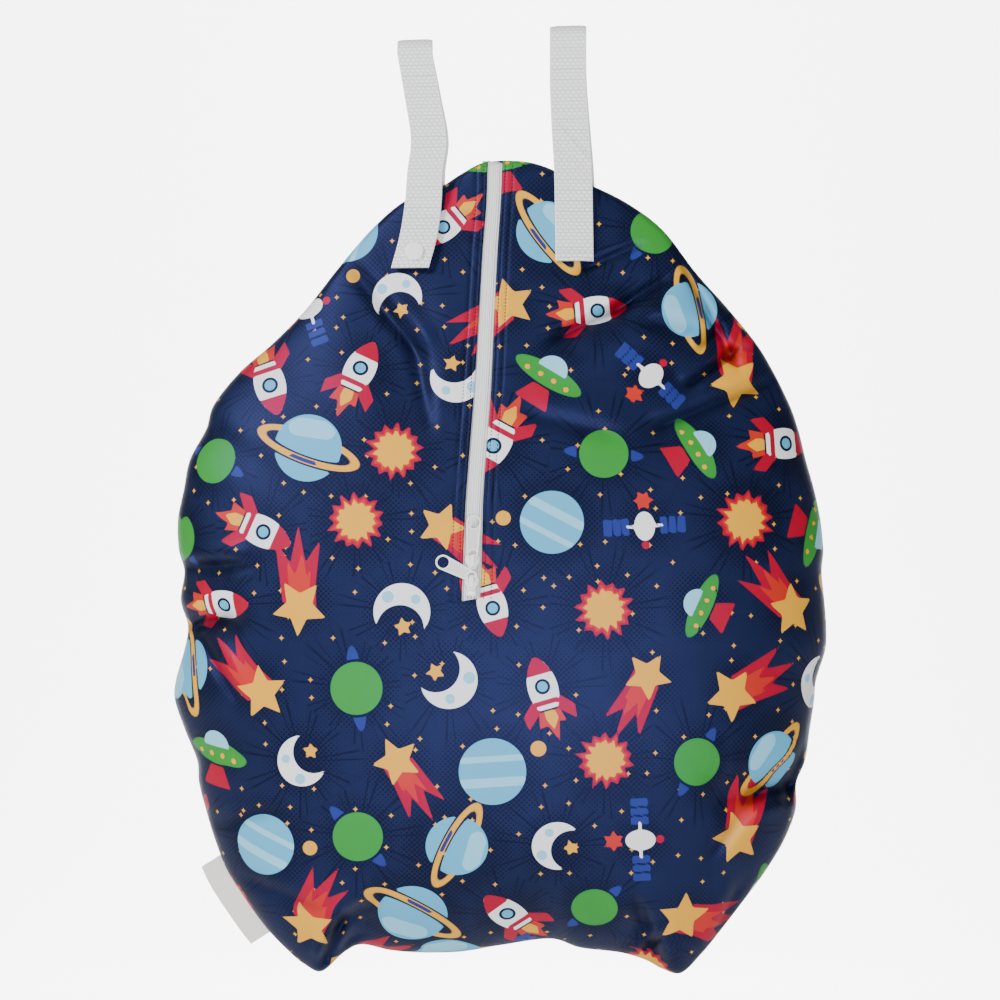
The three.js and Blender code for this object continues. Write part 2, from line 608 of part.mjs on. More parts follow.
// The middle surface of a webbing loop: on its legs, and over the turn at the rail.
function loopSurface({ legRows, railX, topZ, hemZ, lift }) {
  const turnZ = topZ - LOOP_RADIUS - WEB_THICK;
  const middle = LOOP_RADIUS + WEB_THICK / 2;
  const free = (z, y, down, side, off) => {
    const turn = THREE.MathUtils.degToRad(along(legRows, "down", "turn", down));
    const shift = along(legRows, "down", "side", down) * WEB_WIDTH;
    const rear = side > 0 ? BACK_LEG_SHIFT * down : 0;
    const x = railX + shift + rear + off * Math.cos(turn);
    return new THREE.Vector3(x, y - off * Math.sin(turn), z);
  };
  const onLeg = (z, side, off) => {
    const point = free(z, side * middle, (turnZ - z) / (turnZ - hemZ), side, off);
    const depth = side < 0 ? frontDepth : backDepth;
    const cloth = depth(point.x, z);
    const laid = GAP / 2 + cloth + WEB_THICK / 2 + (side < 0 ? lift(z) : LAID);
    const hanging = side * point.y;
    if (cloth > 0) point.y = (side * (hanging + laid + Math.hypot(hanging - laid, SMOOTHING))) / 2;
    return point;
  };
  const onTurn = (angle, off) => {
    const y = -middle * Math.cos(angle);
    return free(turnZ + middle * Math.sin(angle), y, 0, -1, off);
  };
  return { turnZ, hemZ, onLeg, onTurn };
}

// One webbing loop, from the front hem over the rail to the rear hem.
function webbingLoop(loop) {
  const { turnZ, hemZ, onLeg, onTurn } = loopSurface(loop);
  const offsets = steps(-WEB_WIDTH / 2, WEB_WIDTH / 2, WEB_COLUMNS);
  const down = steps(turnZ, hemZ, LEG_ROWS);
  const front = down.map((z) => offsets.map((off) => onLeg(z, -1, off)));
  const rear = down.map((z) => offsets.map((off) => onLeg(z, 1, off)));
  const over = steps(0, Math.PI, TURN_ROWS).slice(1, -1);
  const turn = over.map((angle) => offsets.map((off) => onTurn(angle, off)));
  return thickened([...front.reverse(), ...turn, ...rear], WEB_THICK);
}

// Gives a sheet of points a thickness, half to each side along its own normals.
function thickened(sheet, thick) {
  const shifted = (way) =>
    sheet.map((row, r) =>
      row.map((point, c) => {
        const above = sheet[Math.max(r - 1, 0)][c];
        const below = sheet[Math.min(r + 1, sheet.length - 1)][c];
        const left = row[Math.max(c - 1, 0)];
        const right = row[Math.min(c + 1, row.length - 1)];
        const normal = below.clone().sub(above).cross(right.clone().sub(left)).normalize();
        return point.clone().addScaledVector(normal, (way * thick) / 2);
      }),
    );
  return skin(shifted(1), shifted(-1));
}

const RIGHT_TOP_Z = LEFT_LOOP_BELOW / 2 + WEB_THICK;
const STUD_Z = STUD_ABOVE_HEM - WEB_HEM_BELOW - LEFT_LOOP_BELOW / 2;
const STUD_STACK = EASE + STUD_BASE + GAP + STUD_SOCKET_THICK + EASE;

const LEFT_LOOP = {
  legRows: LEFT_LEG,
  railX: -LOOP_SPACING / 2,
  topZ: RIGHT_TOP_Z - LEFT_LOOP_BELOW,
  hemZ: -WEB_HEM_BELOW - LEFT_LOOP_BELOW / 2,
  lift: (z) => {
    const settled = THREE.MathUtils.smoothstep(z, STUD_Z + STUD_SOCKET / 2, STUD_Z + STUD_LIFT_ENDS);
    return THREE.MathUtils.lerp(STUD_STACK, LAID, settled);
  },
};
const RIGHT_LOOP = {
  legRows: RIGHT_LEG,
  railX: LOOP_SPACING / 2,
  topZ: RIGHT_TOP_Z,
  hemZ: -WEB_HEM_BELOW,
  lift: () => LAID,
};

// The frame of the press stud: in the middle of the left loop's webbing, Y into the bag.
function onStud() {
  const { onLeg } = loopSurface(LEFT_LOOP);
  const centre = onLeg(STUD_Z, -1, 0);
  const right = onLeg(STUD_Z, -1, STUD_CAP / 2).sub(onLeg(STUD_Z, -1, -STUD_CAP / 2)).normalize();
  const up = onLeg(STUD_Z + STUD_CAP / 2, -1, 0).sub(onLeg(STUD_Z - STUD_CAP / 2, -1, 0)).normalize();
  const inwards = up.clone().cross(right).normalize();
  up.crossVectors(right, inwards);
  const place = new THREE.Group();
  place.matrixAutoUpdate = false;
  place.matrix.makeBasis(right, inwards, up).setPosition(centre);
  return place;
}

// A turned body: profile rows are distance from the axis and distance outwards along it.
function turned(profile) {
  const points = profile.map(([radius, out]) => new THREE.Vector2(radius, -out));
  return facingOut(new THREE.LatheGeometry(points, ROUND_SIDES).toNonIndexed());
}

const WEB_FACE = WEB_THICK / 2;
const POST = STUD_KNOB / 2 - GAP;
const SOCKET_OUT = -WEB_FACE - EASE;
const SOCKET_IN = SOCKET_OUT - STUD_SOCKET_THICK;
const BASE_OUT = SOCKET_IN - GAP;
const KNOB_TOP = BASE_OUT + STUD_KNOB_RISE;

// The white cap on the outside of the webbing, with its post through it.
function studCap() {
  const near = WEB_FACE + GAP;
  const rim = STUD_CAP / 2;
  return turned([
    [0, SOCKET_OUT + GAP],
    [POST, SOCKET_OUT + GAP],
    [POST, near],
    ...CAP_FACE.map((row) => [row.radius * rim, near + row.rise * STUD_CAP_RISE]),
  ]);
}

// The socket on the inside of the webbing, open towards the bag.
function studSocket() {
  const rim = STUD_SOCKET / 2;
  const hole = STUD_KNOB / 2 + GAP;
  return turned([
    [0, SOCKET_OUT],
    [rim, SOCKET_OUT],
    [rim, SOCKET_IN + GAP],
    [rim - GAP, SOCKET_IN],
    [hole, SOCKET_IN],
    [hole, KNOB_TOP + GAP],
    [0, KNOB_TOP + GAP],
  ]);
}

// The knob on the front panel that the socket snaps over.
function studBase() {
  const rim = STUD_SOCKET / 2;
  return turned([
    [0, BASE_OUT - STUD_BASE],
    [rim, BASE_OUT - STUD_BASE],
    [rim, BASE_OUT],
    [STUD_KNOB / 2, BASE_OUT],
    [STUD_KNOB / 2, KNOB_TOP],
    [0, KNOB_TOP],
  ]);
}

// The blank label: a folded strip whose cut edges are sewn into the left side seam.
function sideLabel() {
  const half = LABEL_LENGTH / 2 / BAG_DROP;
  const seam = (down) => {
    const x = acrossToX(-along(SIDES, "down", "left", down));
    return new THREE.Vector3(x, 0, downToZ(down));
  };
  const chord = seam(LABEL_DOWN + half).sub(seam(LABEL_DOWN - half)).normalize();
  const proud = new THREE.Vector3(chord.z, 0, -chord.x);
  const sheet = steps(LABEL_DOWN - half, LABEL_DOWN + half, LABEL_ROWS).map((down, row) =>
    steps(LAID, LABEL_WIDTH, LABEL_COLUMNS).map((out) => {
      const curl = (LABEL_CURL * Math.sin((Math.PI * row) / LABEL_ROWS) * out) / LABEL_WIDTH;
      return seam(down).addScaledVector(proud, out).setY(curl);
    }),
  );
  return thickened(sheet, LABEL_THICK);
}

// The plain block at the lower end of the coil.
function bottomStop() {
  const near = GAP - TAPE_UNDER;
  return box(STOP_WIDTH, near, near + STOP_THICK, STOP_LENGTH);
}

const look = (name, color, roughness) => () =>
  new THREE.MeshStandardMaterial({ name, color, roughness, metalness: 0 });
const cloth = look("printed cloth", "#2c4372", 0.75);
const tape = look("zip tape", "#d8d9da", 0.8);
const coil = look("zip coil", "#dcdddd", 0.5);
const plastic = look("white plastic", "#e4e5e6", 0.35);
const webbing = look("webbing", "#d9dadb", 0.85);
const ribbon = look("label ribbon", "#d9d4d2", 0.7);

const bag = new THREE.Group();
bag.name = "hanging_wet_bag";

// Adds a piece, seated in a place's own frame if one is given.
function add(name, geometry, material, place) {
  const mesh = new THREE.Mesh(geometry, material);
  mesh.name = name;
  if (place) {
    mesh.matrixAutoUpdate = false;
    mesh.matrix.copy(place.matrix);
  }
  bag.add(mesh);
}

add("front_panel", without(panelShell(frontDepth, -1), zipOpening()), cloth());
add("back_panel", panelShell(backDepth, 1), cloth());
add("zip_tape", zipTape(), tape());
add("zip_coil", zipCoil(), coil());

const UPPER_Z = ZIP_END_Z + UPPER_SLIDER_ABOVE_END;
const LOWER_Z = ZIP_END_Z + LOWER_SLIDER_ABOVE_END;
add("upper_slider", sliderBody(), plastic(), onZip(UPPER_Z));
add("lower_slider", sliderBody(), plastic(), onZip(LOWER_Z));
add("upper_pull", pullPlate(), plastic(), moved(onZip(UPPER_Z), EYE_UP));
add("lower_pull", pullPlate(), plastic(), moved(onZip(LOWER_Z), LEG_MIDDLE, LOWER_PULL_SWING));
add("bottom_stop", bottomStop(), plastic(), onZip(STOP_Z));

const stud = onStud();
const postHole = turned([
  [0, -WEB_THICK],
  [POST + GAP, -WEB_THICK],
  [POST + GAP, WEB_THICK],
  [0, WEB_THICK],
]).applyMatrix4(stud.matrix);
add("left_loop", without(webbingLoop(LEFT_LOOP), postHole), webbing());
add("right_loop", webbingLoop(RIGHT_LOOP), webbing());
add("stud_cap", studCap(), plastic(), stud);
add("stud_socket", studSocket(), plastic(), stud);
add("stud_base", studBase(), plastic(), stud);
add("side_label", sideLabel(), ribbon());

export default bag;
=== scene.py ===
# %% [markdown]
# A hanging cloth wet bag, dressed for its picture. The solid model gives the frame, and every piece
# below is worked out as a surface over that frame: two cloth panels, a zip with two sliders, two
# webbing loops, a press stud and a blank label. All sizes in the tables are millimetres.

import bpy
import numpy as np
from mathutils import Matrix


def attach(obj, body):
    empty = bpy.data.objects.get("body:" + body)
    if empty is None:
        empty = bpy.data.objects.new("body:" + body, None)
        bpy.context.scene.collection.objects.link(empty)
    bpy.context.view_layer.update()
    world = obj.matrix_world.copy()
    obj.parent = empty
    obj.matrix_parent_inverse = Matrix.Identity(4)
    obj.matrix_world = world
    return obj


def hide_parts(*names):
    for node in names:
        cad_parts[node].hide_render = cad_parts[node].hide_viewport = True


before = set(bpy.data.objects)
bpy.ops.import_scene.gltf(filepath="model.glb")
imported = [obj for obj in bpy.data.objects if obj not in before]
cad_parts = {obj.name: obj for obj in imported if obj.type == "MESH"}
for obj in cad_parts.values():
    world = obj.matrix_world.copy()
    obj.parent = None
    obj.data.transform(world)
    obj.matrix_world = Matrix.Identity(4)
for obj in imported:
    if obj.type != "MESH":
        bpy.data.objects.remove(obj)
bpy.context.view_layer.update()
MM = 0.001

# %% [markdown]
# The photo looks straight at the front. A long lens keeps the belly from growing towards the camera,
# as an orthographic camera would, and still gives the slight perspective of a real picture. Its
# middle sits 307 mm below the rail.

# %% Camera
PICTURE_X, PICTURE_Z = 5.6, -306.9
PICTURE_WIDE = 660.0
LENS, SENSOR = 200.0, 36.0

view_point = bpy.data.cameras.new("photo_camera")
view_point.lens, view_point.sensor_width = LENS, SENSOR
camera = bpy.data.objects.new("photo_camera", view_point)
bpy.context.scene.collection.objects.link(camera)
camera.location = np.array([PICTURE_X, -PICTURE_WIDE * LENS / SENSOR, PICTURE_Z]) * MM
camera.rotation_euler = (np.pi / 2, 0, 0)
bpy.context.scene.camera = camera
print("camera", round(-camera.location.y, 2), "m in front")

# %% [markdown]
# The pouch is sewn flat and swells when it is full. It could be sculpted or simulated; short tables
# read off the real bag are plainer to check and change. Columns are shares of half the width or of
# the drop, as in the solids, so that one number scales the whole pouch.

# %% Sizes and tables of the pouch
BAG_WIDTH, BAG_DROP, BAG_DEPTH = 430.0, 536.0, 150.0
BAG_SHIFT, TOP_SEAM_BELOW = 6.0, 83.0
SEAM_ROLL, SEAM_HALF = 4.0, 2.6
HEART_DOWN, ROUNDNESS, FLANK = 0.55, 2.3, 0.56
FOLDS_FULL, FOLDS_STOP, FOLDS_FREE = 18.75, 22.5, 42.0
RIM_BAND, SOFT_REACH, GAP = 0.6, 6, 0.3

# across, left, right
SHOULDERS = np.array([
    (0.05, 0.002, 0.000), (0.12, 0.016, 0.005), (0.20, 0.036, 0.018), (0.30, 0.051, 0.034),
    (0.40, 0.086, 0.055), (0.50, 0.133, 0.086), (0.60, 0.184, 0.138), (0.70, 0.225, 0.183),
    (0.80, 0.260, 0.234), (0.88, 0.300, 0.294),
])
# down, left, right
SIDES = np.array([
    (0.331, 0.905, 0.914), (0.368, 0.954, 0.937), (0.405, 0.973, 0.963), (0.442, 0.991, 0.982),
    (0.479, 0.988, 0.991), (0.506, 0.971, 0.986), (0.541, 0.982, 0.994), (0.573, 0.960, 1.000),
    (0.602, 0.971, 0.997), (0.639, 0.997, 0.969), (0.664, 1.000, 0.963), (0.701, 0.969, 0.949),
    (0.738, 0.932, 0.935), (0.766, 0.926, 0.908), (0.799, 0.905, 0.906), (0.836, 0.877, 0.871),
    (0.873, 0.840, 0.816), (0.910, 0.782, 0.748), (0.947, 0.714, 0.677), (0.975, 0.646, 0.620),
])
# across, down
BOTTOM = np.array([
    (0.555, 1.000), (0.496, 0.995), (0.444, 0.984), (0.367, 0.975), (0.244, 0.969), (0.152, 0.958),
    (0.000, 0.966), (-0.124, 0.974), (-0.247, 0.975), (-0.339, 0.972), (-0.425, 0.965),
    (-0.478, 0.974), (-0.548, 0.998), (-0.600, 0.990),
])
# down, share of the full depth
FULLNESS = np.array([
    (0.00, 0.16), (0.12, 0.36), (0.28, 0.66), (0.46, 0.90), (0.62, 1.00), (0.78, 1.04),
    (0.90, 1.02), (1.00, 0.90),
])
# from across, from down, to across, to down, width, rise
FRONT_FOLDS = np.array([
    (0.28, 0.127, 0.40, 0.108, 0.018, -0.012), (0.20, 0.214, 0.52, 0.138, 0.026, -0.032),
    (0.22, 0.246, 0.54, 0.170, 0.030, 0.020), (0.56, 0.273, 0.74, 0.232, 0.024, -0.030),
    (0.50, 0.328, 0.81, 0.275, 0.030, -0.034), (0.57, 0.125, 0.70, 0.234, 0.020, -0.026),
    (-0.42, 0.150, -0.26, 0.270, 0.060, -0.030), (-0.97, 0.574, -0.84, 0.566, 0.026, -0.050),
    (-0.97, 0.505, -0.86, 0.500, 0.020, -0.030), (0.92, 0.762, 0.70, 0.775, 0.034, -0.060),
    (-0.50, 0.985, -0.44, 0.930, 0.026, -0.070), (0.47, 0.990, 0.43, 0.940, 0.026, -0.060),
])
# Creases too fine for the solids: from and to in picture-plane millimetres, width, rise; the cloth
# stands up again on the side to the left of the way from one end to the other.
FRONT_CREASES = np.array([
    (64, -154, 94, -141, 2.8, -2.2), (45, -200, 84, -181, 3.4, -2.4), (84, -181, 112, -163, 3.4, -2.4),
    (112, -192, 150, -196, 5.0, -1.2), (141, -203, 160, -182, 3.0, -2.0),
    (124, -146, 142, -184, 3.2, -3.0), (142, -184, 158, -212, 3.0, -2.2),
    (132, -230, 158, -210, 3.0, -2.6), (158, -210, 190, -203, 3.4, -1.6),
    (114, -258, 182, -231, 4.0, -2.0), (20, -250, 70, -262, 6.0, -0.9), (-88, -160, -52, -206, 5.0, -1.6),
    (-52, -206, -40, -250, 5.0, -1.2), (-30, -118, -14, -118, 2.6, -1.0),
    (-200, -352, -168, -350, 4.0, -2.4), (-203, -392, -176, -386, 3.6, -2.6),
    (-186, -404, -170, -430, 4.0, -1.6), (212, -492, 172, -500, 4.4, -3.0),
    (206, -470, 196, -498, 3.0, -2.2), (172, -500, 150, -530, 5.0, -1.4),
    (-108, -606, -98, -584, 3.0, -3.2), (-98, -584, -84, -574, 3.4, -1.8),
    (100, -604, 108, -596, 2.6, -2.0), (106, -600, 96, -572, 4.0, -2.0),
    (150, -592, 160, -566, 3.6, -1.6), (192, -540, 160, -576, 2.2, -0.8),
    (-150, -560, -120, -572, 5.0, -1.2), (-178, -520, -150, -512, 5.0, -1.2),
], dtype=float)
BACK_FOLDS = np.array([
    (-0.30, 0.140, -0.62, 0.300, 0.040, -0.035), (0.30, 0.140, 0.62, 0.280, 0.040, -0.030),
    (0.00, 0.100, 0.03, 0.400, 0.060, -0.030), (0.93, 0.760, 0.70, 0.740, 0.034, -0.050),
    (-0.97, 0.574, -0.80, 0.600, 0.028, -0.050), (-0.50, 0.985, -0.42, 0.930, 0.028, -0.070),
    (0.50, 0.990, 0.42, 0.930, 0.028, -0.060),
])
# down, lean, wide
ZIP_LINE = np.array([
    (0.00, 0.000, 0.82), (0.10, 0.065, 0.78), (0.20, 0.200, 0.82), (0.34, 0.340, 0.84),
    (0.52, 0.510, 0.90), (0.77, 0.850, 0.92), (0.91, 0.935, 1.00), (1.00, 1.000, 0.98),
])
ZIP_LENGTH, ZIP_SLOT, ZIP_LEAN, ZIP_TOP_RIGHT = 288.0, 12.6, 15.5, 2.3
CREASES_DEEPEN = 2.0
print("outline rows", len(SHOULDERS), len(SIDES), len(BOTTOM), "folds", len(FRONT_FOLDS))


# %% [markdown]
# A table is read between its rows with a smooth cubic, as a maker would draw a fair line through
# measured marks; straight steps would show as facets. The outline is such a line closed on itself.

# %% Reading the tables
def along(table, column, place):
    """Cubic Hermite through column `column` over column 0; slopes are from the neighbours."""
    t, v = table[:, 0], table[:, column]
    last = len(t) - 1
    before, after = np.maximum(np.arange(last + 1) - 1, 0), np.minimum(np.arange(last + 1) + 1, last)
    slope = (v[after] - v[before]) / (t[after] - t[before])
    p = np.clip(place, t[0], t[-1])
    i = np.clip(np.searchsorted(t, p, side="right") - 1, 0, last - 1)
    span = t[i + 1] - t[i]
    s = (p - t[i]) / span
    return ((2 * s**3 - 3 * s**2 + 1) * v[i] + (s**3 - 2 * s**2 + s) * span * slope[i]
            + (3 * s**2 - 2 * s**3) * v[i + 1] + (s**3 - s**2) * span * slope[i + 1])


def smoothstep(value, low, high):
    """3t^2 - 2t^3 with t running from 0 at low to 1 at high."""
    t = np.clip((value - low) / (high - low), 0, 1)
    return t * t * (3 - 2 * t)


def closed_line(points, count):
    """Catmull-Rom line through a ring of points, as `count` points evenly spaced along it."""
    a, b, c, d = (np.roll(points, k, axis=0)[:, None] for k in (1, 0, -1, -2))
    t = np.linspace(0, 1, 24, endpoint=False)[None, :, None]
    fine = 0.5 * (2 * b + (c - a) * t + (2 * a - 5 * b + 4 * c - d) * t**2
                  + (3 * b - a - 3 * c + d) * t**3)
    fine = fine.reshape(-1, points.shape[1])
    ring = np.vstack([fine, fine[:1]])
    run = np.r_[0, np.cumsum(np.linalg.norm(np.diff(ring, axis=0), axis=1))]
    even = np.linspace(0, run[-1], count, endpoint=False)
    return np.stack([np.interp(even, run, ring[:, k]) for k in range(points.shape[1])], axis=1)


def unit(vectors):
    """Each vector divided by its length."""
    return vectors / np.linalg.norm(vectors, axis=-1, keepdims=True)


def side_by_side(*columns):
    """Coordinates spread to one shape and put together as points."""
    return np.stack(np.broadcast_arrays(*columns), axis=-1)


def full_turn(count):
    """Angles evenly spaced round a circle."""
    return np.linspace(0, 2 * np.pi, count, endpoint=False)


def across_to_x(share):
    """The bag's shift plus the share times half its width."""
    return BAG_SHIFT + share * BAG_WIDTH / 2


def down_to_z(share):
    """Below the top seam by the share times the drop."""
    return -TOP_SEAM_BELOW - share * BAG_DROP


marks = np.vstack([
    SHOULDERS[:, [0, 2]],
    SIDES[:, [2, 0]],
    BOTTOM,
    (SIDES[:, [1, 0]] * [-1, 1])[::-1],
    (SHOULDERS[:, [0, 1]] * [-1, 1])[::-1],
])
OUTLINE_MARKS = side_by_side(across_to_x(marks[:, 0]), down_to_z(marks[:, 1]))
OUTLINE = closed_line(OUTLINE_MARKS, 4000)
HEART = np.array([across_to_x(0), down_to_z(HEART_DOWN)])
print("outline", OUTLINE.min(0).round(1), OUTLINE.max(0).round(1))


# %% [markdown]
# The belly swells from the seam to the middle. Near the seam it follows the true outline with its
# dents and sagging corners, further in it follows an evened outline, so that no crease runs from a
# corner to the middle. A cloth simulation would swell much the same, but not with these dents.

# %% The swell of the pouch
def by_angle(points, values):
    """Values as a function of the direction from the heart."""
    arms = points - HEART
    angle = np.arctan2(arms[:, 1], arms[:, 0])
    order = np.argsort(angle)
    return angle[order], values[order]


SOFT_ARMS = np.linalg.norm(OUTLINE_MARKS - HEART, axis=1)
SOFT_ARMS = np.mean([np.roll(SOFT_ARMS, k) for k in range(-SOFT_REACH, SOFT_REACH + 1)], axis=0)
REACH = by_angle(OUTLINE, np.linalg.norm(OUTLINE - HEART, axis=1))
SOFT = by_angle(OUTLINE_MARKS, SOFT_ARMS)
print("arms from the heart, mm", SOFT_ARMS.min().round(), "to", SOFT_ARMS.max().round())


# %% [markdown]
# Soft folds are rounded troughs and ridges along lines, and creases are narrow ones with a low ridge
# at one side. Both need how far a place is from a line, along it and beside it. They fade out where
# the cloth is held, at the seam and beside the zip.

# %% Folds and creases
def zip_x(z):
    """Middle of the zip: its top less its lean times the table's share at that height."""
    return ZIP_TOP_RIGHT - ZIP_LEAN * along(ZIP_LINE, 1, (-TOP_SEAM_BELOW - z) / ZIP_LENGTH)


def slot_half(z):
    """Half the opening's width: half the slot times the table's share at that height."""
    return ZIP_SLOT / 2 * along(ZIP_LINE, 2, (-TOP_SEAM_BELOW - z) / ZIP_LENGTH)


def beside(x, z, ax, az, bx, bz):
    """How far a place lies past the ends of the line from a to b, and how far to its left."""
    line = np.array([bx - ax, bz - az])
    reach = np.hypot(*line)
    share = ((x - ax) * line[0] + (z - az) * line[1]) / reach**2
    return (share - np.clip(share, 0, 1)) * reach, (line[0] * (z - az) - line[1] * (x - ax)) / reach


def fold_rise(folds, x, z):
    """Sum over the folds of rise * exp(-(distance to the fold's line / width)^2)."""
    total = np.zeros_like(x)
    for ax, ad, bx, bd, width, rise in folds:
        past, left = beside(x, z, across_to_x(ax), down_to_z(ad), across_to_x(bx), down_to_z(bd))
        total += rise * BAG_DEPTH * np.exp(-(past**2 + left**2) / (width * BAG_WIDTH) ** 2)
    return total


def crease_rise(x, z):
    """A narrow trough along each crease with a low ridge two widths to one side of it."""
    total = np.zeros_like(x)
    for *ends, width, rise in FRONT_CREASES:
        past, left = beside(x, z, *ends)
        ridge = np.exp(-((left - 2.2 * width) / (1.5 * width)) ** 2)
        total += rise * np.exp(-(past / (2.5 * width)) ** 2) * (np.exp(-(left / width) ** 2) - 0.5 * ridge)
    return CREASES_DEEPEN * total


print("folds", len(FRONT_FOLDS), "and", len(BACK_FOLDS), "creases", len(FRONT_CREASES))


# %% [markdown]
# The depth of the cloth at a place is the seam's small roll, the belly and the folds together. A
# piece laid on the cloth asks for its place and normal here.

# %% Depth of the cloth
def bag_depth(x, z, folds, creased=False):
    """Seam roll plus BAG_DEPTH / 2 * fullness * (1 - (r / reach)^roundness)^flank plus folds."""
    from_heart = np.hypot(x - HEART[0], z - HEART[1])
    angle = np.arctan2(z - HEART[1], x - HEART[0])
    reach = np.interp(angle, *REACH, period=2 * np.pi)
    soft = np.interp(angle, *SOFT, period=2 * np.pi)
    inset = np.maximum(reach - from_heart, 0)
    roll = 1 - np.minimum(inset / SEAM_ROLL, 1)
    seam = SEAM_HALF * np.sqrt(1 - roll * roll)
    near_rim = smoothstep(from_heart / reach, RIM_BAND, 1)
    follows = np.maximum(soft + (reach - soft) * near_rim, from_heart)
    dome = (1 - (from_heart / follows) ** ROUNDNESS) ** FLANK
    full = along(FULLNESS, 1, (-TOP_SEAM_BELOW - z) / BAG_DROP)
    belly = BAG_DEPTH / 2 * full * dome * (inset > 0)
    slack = np.minimum(belly / FOLDS_FULL, 1)
    calm = smoothstep(np.abs(x - zip_x(z)), FOLDS_STOP, FOLDS_FREE)
    waves = fold_rise(folds, x, z)
    if creased:
        waves = waves + crease_rise(x, z)
    return seam + belly + waves * slack * calm


def front_depth(x, z):
    """Depth of the front, with its folds and its creases."""
    return bag_depth(x, z, FRONT_FOLDS, creased=True)


def back_depth(x, z):
    """Depth of the back, with its folds alone."""
    return bag_depth(x, z, BACK_FOLDS)


def off_cloth(depth, side, x, z, distance=0.0, probe=0.5):
    """Point on the cloth at (x, z), moved out along the cloth's normal; side -1 is the front."""
    slope_x = (depth(x + probe, z) - depth(x - probe, z)) / (2 * probe)
    slope_z = (depth(x, z + probe) - depth(x, z - probe)) / (2 * probe)
    place = side_by_side(x, side * (GAP / 2 + depth(x, z)), z)
    return place + unit(side_by_side(-slope_x, side, -slope_z)) * np.asarray(distance)[..., None]


print("deepest", front_depth(np.array([HEART[0]]), np.array([-450.0])).round(1))


# %% [markdown]
# Every piece is made from grids of points. Primitives and modifiers could do for some of them; a
# grid worked out at once with numpy is quick and exact. One helper turns a grid into a mesh, keeps
# its flat coordinates as a UV map and measured fields as attributes, and hangs it on its body.

# %% Mesh helpers
def grid_faces(rows, columns, wrap_rows=False, wrap_columns=False, kept=None):
    """Quads between neighbouring points of a grid; wrap joins the last row or column to the first."""
    r = np.arange(rows if wrap_rows else rows - 1)
    c = np.arange(columns if wrap_columns else columns - 1)
    r, c = (g.ravel() for g in np.meshgrid(r, c, indexing="ij"))
    if kept is not None:
        r, c = r[kept(r, c)], c[kept(r, c)]
    r2, c2 = (r + 1) % rows, (c + 1) % columns
    return np.stack([r * columns + c, r * columns + c2, r2 * columns + c2, r2 * columns + c], axis=1)


def make_piece(name, points, faces, material, body="bag", replaces=(), uv=None, fields=None):
    """A mesh object from points in millimetres and a face array, riding on a body."""
    mesh = bpy.data.meshes.new(name)
    points = np.ascontiguousarray(points.reshape(-1, 3) * MM, dtype=np.float32)
    sides = faces.shape[1]
    mesh.vertices.add(len(points))
    mesh.vertices.foreach_set("co", points.ravel())
    mesh.loops.add(faces.size)
    mesh.loops.foreach_set("vertex_index", faces.ravel().astype(np.int32))
    mesh.polygons.add(len(faces))
    mesh.polygons.foreach_set("loop_start", np.arange(0, faces.size, sides, dtype=np.int32))
    mesh.polygons.foreach_set("use_smooth", np.ones(len(faces), dtype=bool))
    if uv is not None:
        layer = mesh.uv_layers.new(name="cloth")
        layer.data.foreach_set("uv", (uv.reshape(-1, 2) * MM)[faces.ravel()].astype(np.float32).ravel())
    for key, value in (fields or {}).items():
        wide = np.repeat(value[:, None], 3, axis=1) if value.ndim == 1 else value
        held = mesh.attributes.new(key, "FLOAT_VECTOR", "POINT")
        held.data.foreach_set("vector", wide.astype(np.float32).ravel())
    mesh.update(calc_edges=True)
    mesh.validate()
    piece = bpy.data.objects.new(name, mesh)
    bpy.context.scene.collection.objects.link(piece)
    mesh.materials.append(material)
    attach(piece, body)
    if replaces:
        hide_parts(*replaces)
    return piece


def joined(*parts):
    """Several (points, faces) put into one pair of arrays."""
    points, faces, start = [], [], 0
    for p, f in parts:
        p = p.reshape(-1, 3)
        points.append(p)
        faces.append(f + start)
        start += len(p)
    return np.vstack(points), np.vstack(faces)


print("a grid of 3 by 4 points has", len(grid_faces(3, 4)), "faces")


# %% [markdown]
# Materials are built from a few node steps. They could be made by hand in the shader editor; here a
# small class adds each node, sets its plain values and links the rest, so that a recipe is a list.

